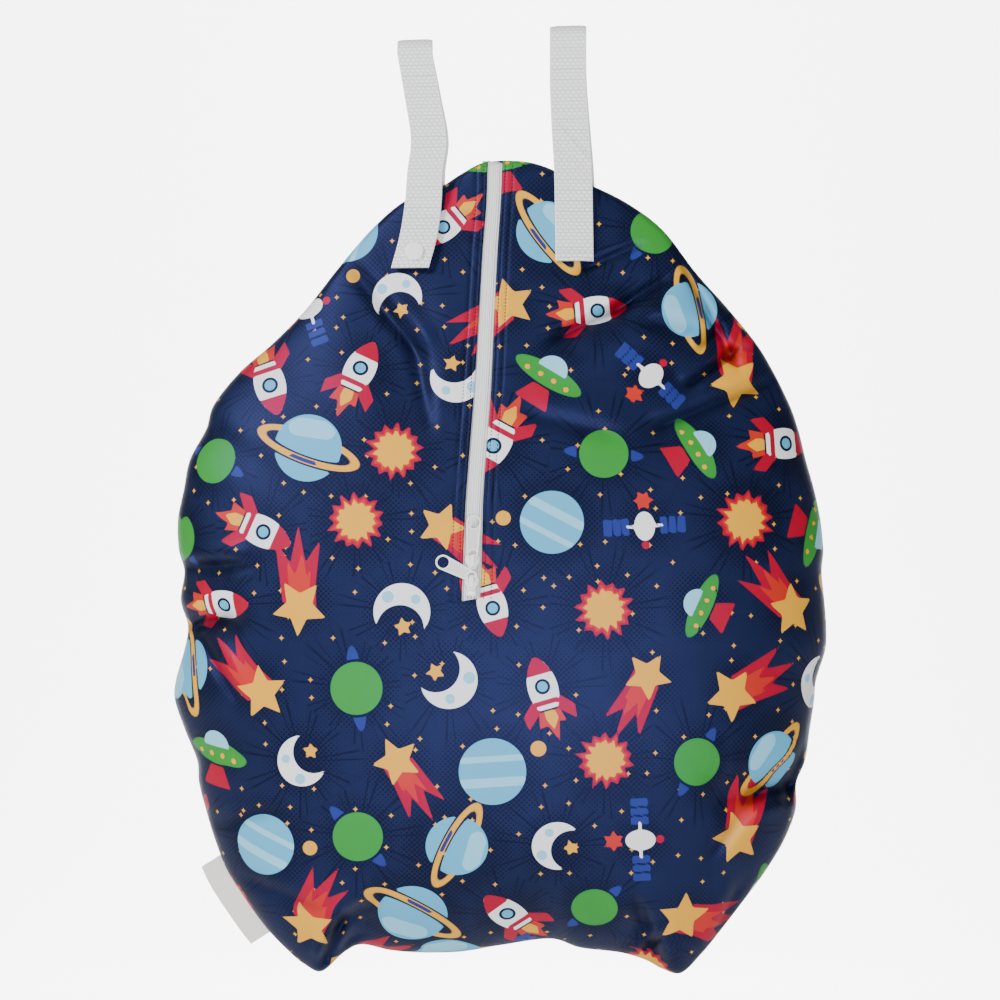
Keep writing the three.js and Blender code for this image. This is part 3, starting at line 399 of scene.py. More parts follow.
# %% Material helpers
class Recipe:
    """One Principled material; its node steps are methods that return a socket to go on with."""

    def __init__(self, name, roughness, **plain):
        """A new material with plain inputs; an underscore in a name stands for a space."""
        self.material = bpy.data.materials.new(name)
        self.material.use_nodes = True
        self.tree = self.material.node_tree
        self.shader = self.tree.nodes["Principled BSDF"]
        plain = {key.replace("_", " "): value for key, value in plain.items()}
        self.connect(self.shader, {"Roughness": roughness} | plain)

    def connect(self, made, inputs):
        """Link the sockets among the values and set the others."""
        for key, value in inputs.items():
            if isinstance(value, bpy.types.NodeSocket):
                self.tree.links.new(value, made.inputs[key])
            else:
                made.inputs[key].default_value = value

    def add(self, kind, inputs=None, output=0, **settings):
        """Output of a new node: settings are its properties, inputs its sockets by name or number."""
        made = self.tree.nodes.new("ShaderNode" + kind)
        for key, value in settings.items():
            setattr(made, key, value)
        self.connect(made, inputs or {})
        return made.outputs[output]

    def maths(self, operation, a, b=0.0):
        """Both values through a Math node."""
        return self.add("Math", {0: a, 1: b}, operation=operation)

    def plus(self, a, b):
        """The sum."""
        return self.maths("ADD", a, b)

    def times(self, a, b):
        """The product."""
        return self.maths("MULTIPLY", a, b)

    def vector(self, operation, a, b=(0, 0, 0), output=0):
        """Both vectors through a Vector Math node."""
        return self.add("VectorMath", {0: a, 1: b}, output, operation=operation)

    def split(self, vector):
        """The three parts of a vector."""
        return self.add("SeparateXYZ", {0: vector}).node.outputs

    def field(self, name, output="Fac"):
        """A measured field of the mesh, by its name."""
        return self.add("Attribute", output=output, attribute_name=name)

    def noise(self, vector, scale, detail):
        """Smooth cloudy noise, finer with a larger scale."""
        return self.add("TexNoise", {"Vector": vector, "Scale": scale, "Detail": detail})

    def span(self, value, low, high, to_low=0.0, to_high=1.0):
        """Bring values from low to high to the range from to_low to to_high, and keep them in it."""
        return self.add("MapRange", {"Value": value, "From Min": low, "From Max": high,
                                     "To Min": to_low, "To Max": to_high})

    def mixed(self, share, a, b):
        """Colour a where share is 0 and b where it is 1."""
        return self.add("Mix", {0: share, 6: a, 7: b}, 2, data_type="RGBA")

    def done(self, colour, height, distance, strength, **inputs):
        """Link the colour, a bump from the height in metres, and other inputs; return the material."""
        bump = self.add("Bump", {"Height": height, "Distance": distance, "Strength": strength})
        self.connect(self.shader, {"Base Color": colour, "Normal": bump} | inputs)
        return self.material


def rgb(red, green, blue):
    """Linear colour with alpha from the 0 to 255 values that a screen shows."""
    c = np.array([red, green, blue]) / 255
    linear = np.where(c <= 0.04045, c / 12.92, ((c + 0.055) / 1.055) ** 2.4)
    return (*linear.tolist(), 1.0)


print("half grey on the screen is", round(rgb(128, 128, 128)[0], 3), "in light")


# %% [markdown]
# The cloth is a smooth laminated knit with a printed face. The print is a plain space pattern of my
# own: planets, rockets, moons and suns on navy. Each ink is kept as a signed distance on the mesh's
# points, so that the shader finds a crisp edge between points, and small stars and dots are drawn in
# the shader.

# %% Ink shapes
def circle(p, x, y, r):
    """Distance to the middle, less the radius."""
    return np.hypot(p[:, 0] - x, p[:, 1] - y) - r


def oval(p, x, y, a, b):
    """Distance to the middle in half axes, less one, times the shorter half axis."""
    return (np.hypot((p[:, 0] - x) / a, (p[:, 1] - y) / b) - 1) * min(a, b)


def either(*shapes):
    """Inside any of the shapes: the least of their distances."""
    return np.min(shapes, axis=0)


def both(*shapes):
    """Inside all of the shapes: the greatest of their distances."""
    return np.max(shapes, axis=0)


def less(shape, cut):
    """The shape with a cut: the greater of its distance and the cut's with its sign turned."""
    return np.maximum(shape, -cut)


def bar(p, ax, ay, bx, by, r):
    """Distance to the segment a to b, less r."""
    line = np.array([bx - ax, by - ay])
    d = p - [ax, ay]
    share = np.clip(d @ line / (line @ line), 0, 1)
    return np.hypot(*(d - share[:, None] * line).T) - r


def polygon(p, corners):
    """Signed distance to a polygon: nearest edge, negative inside."""
    c = np.asarray(corners, dtype=float)
    best = np.full(len(p), np.inf)
    inside = np.zeros(len(p), dtype=bool)
    for a, b in zip(c, np.roll(c, -1, axis=0)):
        best = np.minimum(best, bar(p, *a, *b, 0))
        above = (a[1] > p[:, 1]) != (b[1] > p[:, 1])
        cross = a[0] + (p[:, 1] - a[1]) * (b[0] - a[0]) / (b[1] - a[1] + 1e-12)
        inside ^= above & (p[:, 0] < cross)
    return np.where(inside, -best, best)


def pair(p, corners):
    """A polygon and its mirror image across the upright axis."""
    return either(polygon(p, corners), polygon(p, np.multiply(corners, [-1, 1])))


def spiky(p, points, outer, inner, skew=0.0):
    """A star of that many points between two radii."""
    k = np.arange(2 * points)
    r = np.where(k % 2 == 0, outer, inner) * (1 + skew * np.sin(k * 2.3))
    angle = np.pi * k / points
    return polygon(p, side_by_side(r * np.cos(angle), r * np.sin(angle)))


print("distance in the middle of a 5 mm disc", circle(np.zeros((1, 2)), 0, 0, 5)[0])


# %% [markdown]
# Each motif returns the inks that it needs. The inks lie over one another in a fixed order, and a
# later ink covers an earlier one.

# %% Motifs
INKS = ("crimson", "orange", "gold", "green", "violet", "white", "dark", "blue", "pale")


def ringed_planet(p):
    """A ball in an oval ring, whose front half lies over it with a gap on both sides."""
    ball = circle(p, 0, 0, 18)
    ring = less(oval(p, 0, 0, 29, 8.5), oval(p, 0, 0, 24, 5.2))
    front = both(ring, p[:, 1])
    shine = both(ball + 1, bar(p, -9, 9, 6, 12, 5))
    return {"gold": ring, "blue": less(ball, front - 0.9), "pale": less(shine, front - 0.9),
            "violet": both(front, circle(p, 0, -14, 11)) + 0.6}


def banded_planet(p):
    """A ball with two slanting bands, and a small moon beside it."""
    ball = circle(p, 0, 0, 17)
    bands = either(bar(p, -20, 5, 20, 8, 1.6), bar(p, -20, -7, 20, -4, 2.4))
    return {"blue": ball, "pale": both(ball, bands), "gold": circle(p, 23, 12, 4)}


def rocket(p):
    """A body where three circles overlap, with nose, fins, stripe, porthole and flame."""
    body = both(circle(p, 0, -13, 31), circle(p, -17, 0, 25.5), circle(p, 17, 0, 25.5), -p[:, 1] - 12)
    fins = pair(p, [(-5, -3), (-15, -13), (-14, -21), (-5, -13)])
    nose = both(body, 8 - p[:, 1])
    stripe = both(body, bar(p, -12, -8, 12, -8, 1.4))
    flame = polygon(p, [(-6, -13), (6, -13), (8, -21), (4, -20), (1, -31), (-3, -21), (-8, -22)])
    return {"crimson": either(fins, nose, stripe), "orange": flame,
            "gold": polygon(p, [(-3, -13), (3, -13), (4, -18), (0, -24), (-3, -18)]),
            "white": less(less(body, nose), stripe), "blue": circle(p, 0, 1, 3.0),
            "dark": circle(p, 0, 1, 4.4)}


def sun(p):
    """Three spiky discs, one over the other."""
    return {"crimson": spiky(p, 14, 17, 12, 0.08), "orange": spiky(p, 14, 15, 10, 0.08),
            "gold": either(spiky(p, 14, 12.4, 9, 0.08), circle(p, 0, 0, 8))}


def comet(p):
    """A five-pointed star before two ragged tails."""
    tail = polygon(p, [(2, -9), (-30, -15), (-18, -6), (-38, -3), (-19, 2), (-31, 9), (-8, 8), (4, 9)])
    inner = polygon(p, [(2, -5), (-20, -8), (-12, -3), (-25, 0), (-12, 3), (-16, 5), (4, 5)])
    return {"crimson": tail, "orange": inner, "gold": spiky(p - [4, 0], 5, 15, 7.2)}


def moon(p):
    """A disc with another cut from it, two pits and a small star."""
    face = less(circle(p, 0, 0, 15), circle(p, 8.5, 3, 12.5))
    pits = either(circle(p, -9, 4, 2.6), circle(p, -4, -10, 3.2))
    return {"white": face, "pale": both(face + 0.6, pits), "gold": spiky(p - [7, 4], 5, 5.5, 2.6)}


def saucer(p):
    """An oval with four lamps, half a disc for its dome and a beam below it."""
    lamps = either(*(circle(p, x, -3 - abs(x) * 0.06, 1.6) for x in (-12, -4, 4, 12)))
    return {"green": less(oval(p, 0, -2, 20, 6), lamps), "gold": lamps,
            "pale": both(circle(p, 0, 1, 8.5), 1 - p[:, 1]),
            "crimson": polygon(p, [(-5, -9), (5, -9), (10, -20), (-10, -20)])}


def green_world(p):
    """A ball before a flat oval ring, of which only the two tips show."""
    ball = circle(p, 0, 0, 13.5)
    return {"green": ball, "violet": less(oval(p, 0, 0, 22, 4.6), ball - 1.4)}


print("a rocket needs", len(rocket(np.zeros((1, 2)))), "inks")


# %% [markdown]
# Each motif has a row with its size, how far dark dots reach round it, how often it is dealt and
# whether dark rays burst behind it.

# %% Satellite and the table of motifs
def satellite(p):
    """Two panels with struts, an oval body, a round head and a small star below."""
    struts = either(*(bar(p, x, -6, x, 6, 0.7) for x in (-19, -14, 14, 19)))
    return {"violet": less(pair(p, [(-24, -5), (-9, -5), (-9, 5), (-24, 5)]), struts),
            "white": either(oval(p, 0, 0, 6, 8.5), bar(p, -10, 0, 10, 0, 0.9)),
            "crimson": circle(p, 0, 11, 2.4), "orange": spiky(p - [0, -15], 6, 6.5, 3.5)}


# motif, reach of its inks, halo of dark dots, share of the places, dark rays behind it
MOTIFS = (
    (ringed_planet, 31, 30, 3, False), (rocket, 34, 18, 4, True), (sun, 19, 24, 3, True),
    (comet, 41, 14, 3, False), (moon, 18, 16, 2, True), (banded_planet, 30, 26, 2, False),
    (saucer, 24, 14, 2, False), (green_world, 24, 18, 2, True), (satellite, 26, 12, 2, False),
)
print("inks", len(INKS), "motifs", len(MOTIFS))


# %% [markdown]
# Printed cloth repeats without lining up. The motifs lie on a loose triangular grid, each nudged and
# turned by a fixed seed, and are dealt from a shuffled hand so that none sits beside itself often.

# %% Laying out the print
PRINT_PITCH = 60.0
FRONT_SEED, BACK_SEED = 11, 23


def motif_places(seed):
    """Rows of x, y, turn, size and motif number that cover the panel."""
    rng = np.random.default_rng(seed)
    r, c = (g.ravel() for g in np.meshgrid(np.arange(-9, 10), np.arange(-7, 8), indexing="ij"))
    x = (c + 0.5 * (r % 2)) * PRINT_PITCH * 1.06 + rng.uniform(-6, 6, r.size)
    y = r * PRINT_PITCH * 0.86 + rng.uniform(-5, 5, r.size)
    hand = np.concatenate([np.full(row[3], k) for k, row in enumerate(MOTIFS)])
    deals = np.concatenate([rng.permutation(hand) for _ in range(r.size // len(hand) + 1)])[: r.size]
    return np.stack([x, y, rng.uniform(0, 2 * np.pi, r.size), rng.uniform(1.1, 1.3, r.size), deals], axis=1)


def print_fields(flat, seed):
    """Signed distance of each ink at flat cloth coordinates, the strength of the dark dots, and the
    way to the middle of the nearest burst of dark rays."""
    far = 6.0
    burst = np.full((len(flat), 2), 90.0)
    ink = {name: np.full(len(flat), far) for name in INKS}
    halo = np.zeros(len(flat))
    for x, y, turn, size, number in motif_places(seed):
        motif, reach, dots, _, rays = MOTIFS[int(number)]
        gap = np.hypot(flat[:, 0] - x, flat[:, 1] - y)
        if rays:
            closer = gap < np.hypot(*burst.T)
            burst[closer] = (flat - [x, y])[closer]
        near = np.flatnonzero(gap < (max(reach, dots + 18) + 6) * size)
        if not near.size:
            continue
        spin = np.array([[np.cos(turn), -np.sin(turn)], [np.sin(turn), np.cos(turn)]])
        for name, distance in motif((flat[near] - [x, y]) @ spin / size).items():
            ink[name][near] = np.minimum(ink[name][near], distance * size)
        halo[near] = np.maximum(halo[near], 1 - smoothstep(gap[near], dots - 4, dots + 22))
    fields = {"ink_d": side_by_side(halo, *burst.T)}
    for first, group in zip((0, 3, 6), ("ink_a", "ink_b", "ink_c")):
        fields[group] = side_by_side(*(ink[name] for name in INKS[first:first + 3])).clip(-far, far)
    return fields


print("places for motifs", len(motif_places(FRONT_SEED)))


# %% [markdown]
# The printed cloth's face is navy with a dark halftone, and the inks lie over it in order. An image
# would blur close up; thresholds on the measured distances stay crisp. A fine knit breaks up the
# light, and the laminate's bluish shine is one tint over the whole face. Painted shade darkens the
# fine creases of the front.

# %% Printed cloth
INK_COLOURS = {
    "crimson": rgb(165, 4, 30), "orange": rgb(189, 46, 10), "gold": rgb(224, 163, 30),
    "green": rgb(48, 138, 40), "violet": rgb(38, 50, 124), "white": rgb(236, 236, 238),
    "blue": rgb(88, 170, 206), "pale": rgb(138, 200, 224), "dark": rgb(4, 6, 14),
}
# The near-black of the dots and rays is also the colour of the painted shade in the fine creases.
NAVY, DEEP_NAVY, DOTS_AND_CREASE_SHADE = rgb(18, 27, 54), rgb(12, 20, 43), rgb(1, 2, 4)
SHINE, SHINE_LEVEL = (0.19, 0.24, 0.78, 1.0), 0.6
DOT_PITCH = 2.4 * MM
RAYS, UNEVEN_RAYS, RAYS_FULL, RAYS_END = 42.0, 11.0, 36.0, 46.0
STARS_PER_METRE, STAR_REACH, INK_EDGE = 58.0, 0.0265, 0.16


def printed_cloth():
    """Navy, then rays, dots and small stars, then each ink where its distance is negative, then painted
    shade in the fine creases.
    """
    r = Recipe("printed_cloth", 0.5, Specular_Tint=SHINE, Specular_IOR_Level=SHINE_LEVEL)
    flat = r.add("UVMap", uv_map="cloth")
    colour = r.mixed(r.noise(flat, 14.0, 2.0), DEEP_NAVY, NAVY)

    # Dark rays round some motifs: wedges of uneven width that fade out.
    halo, burst_x, burst_y = r.split(r.field("ink_d", "Vector"))
    turn = r.maths("ARCTAN2", burst_y, burst_x)
    away = r.maths("SQRT", r.plus(r.times(burst_x, burst_x), r.times(burst_y, burst_y)))
    uneven = r.times(r.maths("SINE", r.times(turn, UNEVEN_RAYS)), 0.4)
    wedge = r.span(r.plus(r.maths("SINE", r.times(turn, RAYS)), uneven), 0.75, 1.1)
    ray = r.times(wedge, r.span(away, RAYS_END, RAYS_FULL))
    colour = r.mixed(r.times(ray, 0.85), colour, DOTS_AND_CREASE_SHADE)

    # Dark dots on a square grid turned by 45 degrees, larger nearer to a motif.
    turned = r.add("VectorRotate", {"Vector": flat, "Angle": 0.785}, rotation_type="Z_AXIS")
    square = r.vector("FRACTION", r.vector("MULTIPLY", turned, (1 / DOT_PITCH,) * 3))
    middle = r.vector("MULTIPLY", r.vector("SUBTRACT", square, (0.5, 0.5, 0.0)), (1, 1, 0))
    from_dot = r.vector("LENGTH", middle, output="Value")
    dot = r.span(r.maths("SUBTRACT", r.times(halo, 0.44), from_dot), -0.06, 0.06)
    colour = r.mixed(r.times(dot, 0.95), colour, DOTS_AND_CREASE_SHADE)

    # Small gold four-pointed stars, one in some of the cells of a Voronoi pattern.
    stars = r.add("TexVoronoi", {"Vector": flat, "Scale": STARS_PER_METRE}, voronoi_dimensions="2D").node
    across, up, _ = r.split(r.vector("ABSOLUTE", r.vector("SUBTRACT", flat, stars.outputs["Position"])))
    spread = r.plus(r.maths("POWER", across, 0.6), r.maths("POWER", up, 0.6))
    chosen = r.maths("GREATER_THAN", r.split(stars.outputs["Color"])[0], 0.5)
    star = r.span(r.maths("SUBTRACT", r.times(chosen, STAR_REACH), spread), 0.0, 0.004)
    colour = r.mixed(star, colour, INK_COLOURS["gold"])

    for first, group in zip((0, 3, 6), ("ink_a", "ink_b", "ink_c")):
        for name, distance in zip(INKS[first:first + 3], r.split(r.field(group, "Vector"))):
            colour = r.mixed(r.span(distance, INK_EDGE, -INK_EDGE), colour, INK_COLOURS[name])
    # Painted shade: the fine creases darken towards the near-black, by up to half.
    colour = r.mixed(r.times(r.field("hollow_shade"), 0.5), colour, DOTS_AND_CREASE_SHADE)

    knit = r.add("TexWave", {"Vector": flat, "Scale": 330.0, "Distortion": 1.5, "Detail": 1.0}, "Fac",
                 bands_direction="X")
    fuzz = r.noise(flat, 900.0, 3.0)
    height = r.plus(r.times(knit, 0.6), r.times(fuzz, 0.6))
    return r.done(colour, height, 0.00006, 0.5, Roughness=r.span(fuzz, 0.0, 1.0, 0.44, 0.58))


CLOTH_LOOK = printed_cloth()
print("printed cloth nodes", len(CLOTH_LOOK.node_tree.nodes))


# %% [markdown]
# White pieces differ in how they shine: webbing and tape are matt threads, the sliders and pulls are
# enamelled and satin, and the press stud is glossy. One plain white would lose their edges, so each
# has its own grain, and the webbing, tape, sliders, pulls and stop get painted shade: they are greyer
# in their dips, gaps and sunken parts.

# %% White materials
def threads_look(name, colour, shade, scale, roughness, hollow_shade=None, sheen=0.15):
    """Thread with a fine twist along it; where the weave attribute is low, painted shade darkens it towards
    the colour given for its dips.
    """
    r = Recipe(name, roughness, Sheen_Weight=sheen, Sheen_Roughness=0.5)
    place = r.add("TexCoord", output="Object")
    twist, soil = r.noise(place, scale, 3.0), r.noise(place, 60.0, 2.0)
    face = r.mixed(r.plus(r.times(twist, 0.7), r.times(soil, 0.3)), shade, colour)
    if hollow_shade:
        # Painted shade: greyer in the dips, where the weave field is low.
        face = r.mixed(r.span(r.field("weave"), 0.15, 0.75), hollow_shade, face)
    return r.done(face, twist, 0.00012, 0.6)


def enamel_look(name, colour, shade, roughness, coat):
    """Smooth white finish with faint unevenness in its shine; painted shade turns it grey where the field of
    its sunken parts is high.
    """
    r = Recipe(name, roughness, Coat_Weight=coat, Coat_Roughness=0.2)
    cloud = r.noise(r.add("TexCoord", output="Object"), 350.0, 2.0)
    # Painted shade: grey towards the sunken parts and gaps.
    face = r.mixed(r.field("painted_recess_shade"), r.mixed(cloud, shade, colour), rgb(96, 98, 102))
    uneven = r.span(cloud, 0.0, 1.0, roughness - 0.05, roughness + 0.08)
    return r.done(face, cloud, 0.00003, 0.3, Roughness=uneven)


# The last colour of the webbing and of the tape is their painted shade for the dips between threads.
WEBBING_LOOK = threads_look(
    "webbing", rgb(250, 250, 252), rgb(238, 239, 242), 1800.0, 0.8, rgb(182, 184, 188))
TAPE_LOOK = threads_look(
    "zip_tape", rgb(246, 247, 248), rgb(230, 232, 234), 2400.0, 0.75, rgb(196, 198, 201))
LABEL_LOOK = threads_look("label_ribbon", rgb(238, 232, 228), rgb(222, 216, 212), 1500.0, 0.6)
NAVY_THREAD = threads_look("navy_thread", rgb(6, 12, 34), rgb(2, 5, 16), 2600.0, 0.85, sheen=0.0)
ENAMEL_LOOK = enamel_look("white_enamel", rgb(252, 252, 253), rgb(246, 247, 248), 0.35, 0.3)
STUD_LOOK = enamel_look("stud_plastic", rgb(253, 253, 254), rgb(248, 248, 250), 0.22, 0.4)
print("materials", len(bpy.data.materials))


# %% [markdown]
# A panel is a grid that fits the cloth's real edges. Its edge lines are runs of the outline, and a
# patch between four of them is filled by blending, as a maker eases cloth between seams.

# %% Lines and patches
STRIP_REACH = 11.0
STRIP_OFFSETS = np.array([0.0, 0.35, 0.8, 1.3, 1.9, 2.5, 3.2, 4.0, 4.8, 5.6, 6.2, 6.8, 7.5, 8.5, 9.6,
                          STRIP_REACH])
SLOT_COLUMNS = 6
CORNER_X = {"left": -128.0, "right": 140.0}
EAR = {"left": (-111.0, -618.0), "right": (124.0, -618.0)}


def outline_place(x, z):
    """Number of the outline point nearest to a place."""
    return int(np.argmin(np.hypot(OUTLINE[:, 0] - x, OUTLINE[:, 1] - z)))


def outline_run(start, end, count, way):
    """Points evenly spaced along the outline from one place to another, clockwise or back."""
    total = len(OUTLINE)
    length = (end - start) % total if way > 0 else -((start - end) % total)
    index = start + length * np.linspace(0, 1, count)
    low = np.floor(index).astype(int)
    part = (index - low)[:, None]
    return OUTLINE[low % total] * (1 - part) + OUTLINE[(low + 1) % total] * part


def edge_z(x, upper):
    """Height of the top or bottom seam at x."""
    half = OUTLINE[OUTLINE[:, 1] > HEART[1]] if upper else OUTLINE[OUTLINE[:, 1] < HEART[1] - 100]
    half = half[np.abs(half[:, 0] - x.mean()) < 60]
    order = np.argsort(half[:, 0])
    return np.interp(x, half[order, 0], half[order, 1])


def patch(top, bottom, left, right):
    """Coons patch: the surface between four edge lines that meet at the corners."""
    u = np.linspace(0, 1, len(top))[None, :, None]
    v = np.linspace(0, 1, len(left))[:, None, None]
    across = (1 - u) * left[:, None] + u * right[:, None]
    down = (1 - v) * top[None] + v * bottom[None]
    corners = ((1 - u) * (1 - v) * top[0] + u * (1 - v) * top[-1]
               + (1 - u) * v * bottom[0] + u * v * bottom[-1])
    return across + down - corners


print("outline points", len(OUTLINE), "strip half", STRIP_REACH, "mm")


# %% [markdown]
# Cloth beside the zip needs close columns and cloth near the seam does not. One even grid would
# either miss the stitching or have too many faces. One strip of columns runs down over the zip, with
# the opening as a hole in it, and a patch on each side reaches out to the seam.

# %% Grid of a panel
SLOT_END, END_SLANT, SLOT_ROWS_SHARE = -TOP_SEAM_BELOW - ZIP_LENGTH - 0.5, 1.2, 0.55


def panel_grid(rows, side_columns):
    """Rows of (x, z) from seam to seam over the zip's strip, the strip's first column, the slot's rows."""
    slot_rows = int(rows * SLOT_ROWS_SHARE)
    edge = np.ones(len(STRIP_OFFSETS) - 1)
    shares = np.r_[-edge, np.linspace(-1, 1, SLOT_COLUMNS + 1), edge]
    offsets = np.r_[-STRIP_OFFSETS[:0:-1], np.zeros(SLOT_COLUMNS + 1), STRIP_OFFSETS[1:]]
    top_x = zip_x(-TOP_SEAM_BELOW) + shares * slot_half(-TOP_SEAM_BELOW) + offsets
    end_x = zip_x(SLOT_END) + shares * slot_half(SLOT_END) + offsets
    top_z, bottom_z = edge_z(top_x, True), edge_z(end_x, False)
    end_z = SLOT_END + END_SLANT * shares
    v_slot = np.linspace(0, 1, slot_rows + 1)[:, None]
    v_rest = np.linspace(0, 1, rows - slot_rows)[1:, None]
    z = np.vstack([top_z + (end_z - top_z) * v_slot, end_z + (bottom_z - end_z) * v_rest])
    strip = side_by_side(zip_x(z) + shares * slot_half(z) + offsets, z)
    sides = {}
    for name, way, column in (("left", -1, 0), ("right", 1, -1)):
        upper = outline_place(CORNER_X[name], edge_z(np.array([CORNER_X[name]]), True)[0])
        ear = outline_place(*EAR[name])
        strip_top, strip_foot = outline_place(*strip[0, column]), outline_place(*strip[-1, column])
        top = outline_run(upper, strip_top, side_columns, -way)
        foot = outline_run(ear, strip_foot, side_columns, way)
        seam = outline_run(upper, ear, len(strip), way)
        top[-1], foot[-1] = strip[0, column], strip[-1, column]
        sides[name] = patch(top, foot, seam, strip[:, column])
    whole = np.concatenate([sides["left"][:, :-1], strip, sides["right"][:, -2::-1]], axis=1)
    return whole, side_columns - 1, slot_rows


print("grid of", panel_grid(60, 20)[0].shape[:2], "points as a trial")


# %% [markdown]
# Print is made on flat cloth. Running lengths over the swell, across and up, lay it out flat again,
# so that motifs keep their shape where the cloth slopes away.

# %% Flat coordinates of the cloth
FLAT_STEP, STEEPEST = 2.0, 2.2


def flat_map(depth):
    """Cloth coordinates: arc length over the swell from the middle, across and up."""
    xs, zs = np.arange(-216.0, 229.0, FLAT_STEP), np.arange(-624.0, -78.0, FLAT_STEP)
    d = depth(*np.meshgrid(xs, zs, indexing="ij"))
    run_x, run_z = (FLAT_STEP * np.sqrt(1 + (np.diff(d, axis=k) / FLAT_STEP) ** 2).clip(max=STEEPEST)
                    for k in (0, 1))
    u = np.vstack([np.zeros((1, len(zs))), np.cumsum(run_x, axis=0)])
    v = np.hstack([np.zeros((len(xs), 1)), np.cumsum(run_z, axis=1)])
    u -= u[np.searchsorted(xs, HEART[0])][None]
    v -= v[:, [np.searchsorted(zs, HEART[1])]]

    def read(x, z):
        """Running lengths between four points of the grid, weighted by nearness."""
        i = np.clip((x - xs[0]) / FLAT_STEP, 0, len(xs) - 1.001)
        j = np.clip((z - zs[0]) / FLAT_STEP, 0, len(zs) - 1.001)
        a, b = i.astype(int), j.astype(int)
        s, t = i - a, j - b
        return side_by_side(*(
            (1 - s) * ((1 - t) * g[a, b] + t * g[a, b + 1])
            + s * ((1 - t) * g[a + 1, b] + t * g[a + 1, b + 1]) for g in (u, v)
        ))

    return read


trial = flat_map(back_depth)(np.array([-190.0, 190.0]), np.full(2, HEART[1]))
print("380 mm across the back lie out to", round(np.ptp(trial[:, 0])), "mm")


# %% [markdown]
# Two rows of topstitching run beside the opening. They pull the cloth down into two shallow
# grooves, and the hem beside the tape stays a little proud. Bump could fake them, but they are seen
# from the side too, so they are shape.

# %% Front panel
STITCH_ROWS = (2.0, 6.8)
ROWS, SIDE_COLUMNS = ((318, 118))


def beside_zip(x, z):
    """Distance from the edge of the opening; below its end, from the end's corners."""
    sideways = np.abs(x - zip_x(z)) - slot_half(z)
    below = np.maximum(-TOP_SEAM_BELOW - ZIP_LENGTH - z, 0)
    return np.hypot(np.maximum(sideways, 0), below), below


def front_relief(x, z):
    """Grooves at the stitch rows, a rounded hem and small puckers between the stitches."""
    away, below = beside_zip(x, z)
    groove = sum(-0.45 * np.exp(-((away - row) / 0.9) ** 2) for row in STITCH_ROWS)
    hem = -0.7 * np.exp(-(away / 0.55) ** 2)
    pucker = 0.22 * np.sin(z / 3.1) * np.exp(-((away - 8) / 5) ** 2) * np.sin(z / 17.0)
    return (groove + hem + pucker) * (below < 0.6)


grid, strip_start, slot_rows = panel_grid(ROWS, SIDE_COLUMNS)
gx, gz = grid[..., 0], grid[..., 1]
front_points = off_cloth(front_depth, -1, gx, gz, front_relief(gx, gz))
print_map = flat_map(lambda x, z: bag_depth(x, z, FRONT_FOLDS))
front_flat = print_map(gx, gz)
slot_from = strip_start + len(STRIP_OFFSETS) - 1


def crease_shade(x, z):
    """Painted shade of the fine creases: their depth below the cloth over 4 mm, from 0 to 1, raised to the
    power 1.4.
    """
    return np.clip(-crease_rise(x, z) / 4.0, 0, 1).ravel() ** 1.4


def outside_slot(r, c):
    """True for the cells outside the rows and columns of the opening."""
    return ~((r < slot_rows) & (c >= slot_from) & (c < slot_from + SLOT_COLUMNS))


front_faces = grid_faces(*gx.shape, kept=outside_slot)
front = make_piece(
    "front_cloth", front_points, front_faces, CLOTH_LOOK, replaces=["front_panel"],
    uv=front_flat,
    fields=print_fields(front_flat.reshape(-1, 2), FRONT_SEED) | {"hollow_shade": crease_shade(gx, gz)},
)
print("front cloth", len(front.data.polygons), "faces")

# %% [markdown]
# The back panel is hidden in the photo. It is the same cloth on a plain grid with its own soft
# folds and another part of the print.

# %% Back panel
back_points = off_cloth(back_depth, 1, gx, gz)
back_flat = flat_map(back_depth)(gx, gz) * [-1, 1]
back = make_piece(
    "back_cloth", back_points, grid_faces(*gx.shape)[:, ::-1], CLOTH_LOOK, replaces=["back_panel"],
    uv=back_flat, fields=print_fields(back_flat.reshape(-1, 2), BACK_SEED),
)
print("back cloth", len(back.data.polygons), "faces")

# %% [markdown]
# The hem of the opening is the cloth's own edge turned under. Thickening the whole cloth would cost
# faces for one visible edge, so a narrow band starts at the edge and rolls in towards the tape.

# %% Hem of the opening
HEM = np.array([(0.0, 0.0), (-0.25, -0.5), (-0.1, -1.1), (0.6, -1.6), (2.4, -1.7)])


def hem_line():
    """Round the opening: down its left edge, along the lower end and up its right edge."""
    left = grid[: slot_rows + 1, slot_from]
    foot = grid[slot_rows, slot_from + 1: slot_from + SLOT_COLUMNS]
    right = grid[slot_rows::-1, slot_from + SLOT_COLUMNS]
    ways = [(-1.0, 0.0)] * len(left) + [(0.0, -1.0)] * len(foot) + [(1.0, 0.0)] * len(right)
    return np.vstack([left, foot, right]), np.array(ways)


line, away = hem_line()
hem_points = np.stack([
    off_cloth(front_depth, -1, *(line + out * away).T, down + front_relief(*line.T)) for out, down in HEM
], axis=1)
hem_flat = np.repeat(print_map(*line.T)[:, None], len(HEM), axis=1)
hem_faces = grid_faces(*hem_points.shape[:2])
hem = make_piece(
    "front_hem", hem_points, hem_faces, CLOTH_LOOK, uv=hem_flat,
    fields=print_fields(hem_flat.reshape(-1, 2), FRONT_SEED),
)
print("hem", len(hem.data.polygons), "faces")


# %% [markdown]
# Topstitches are short thread capsules that dip at both ends. An array along a curve could set them;
# here one function sets the same small body along a line at its pitch, all at once.

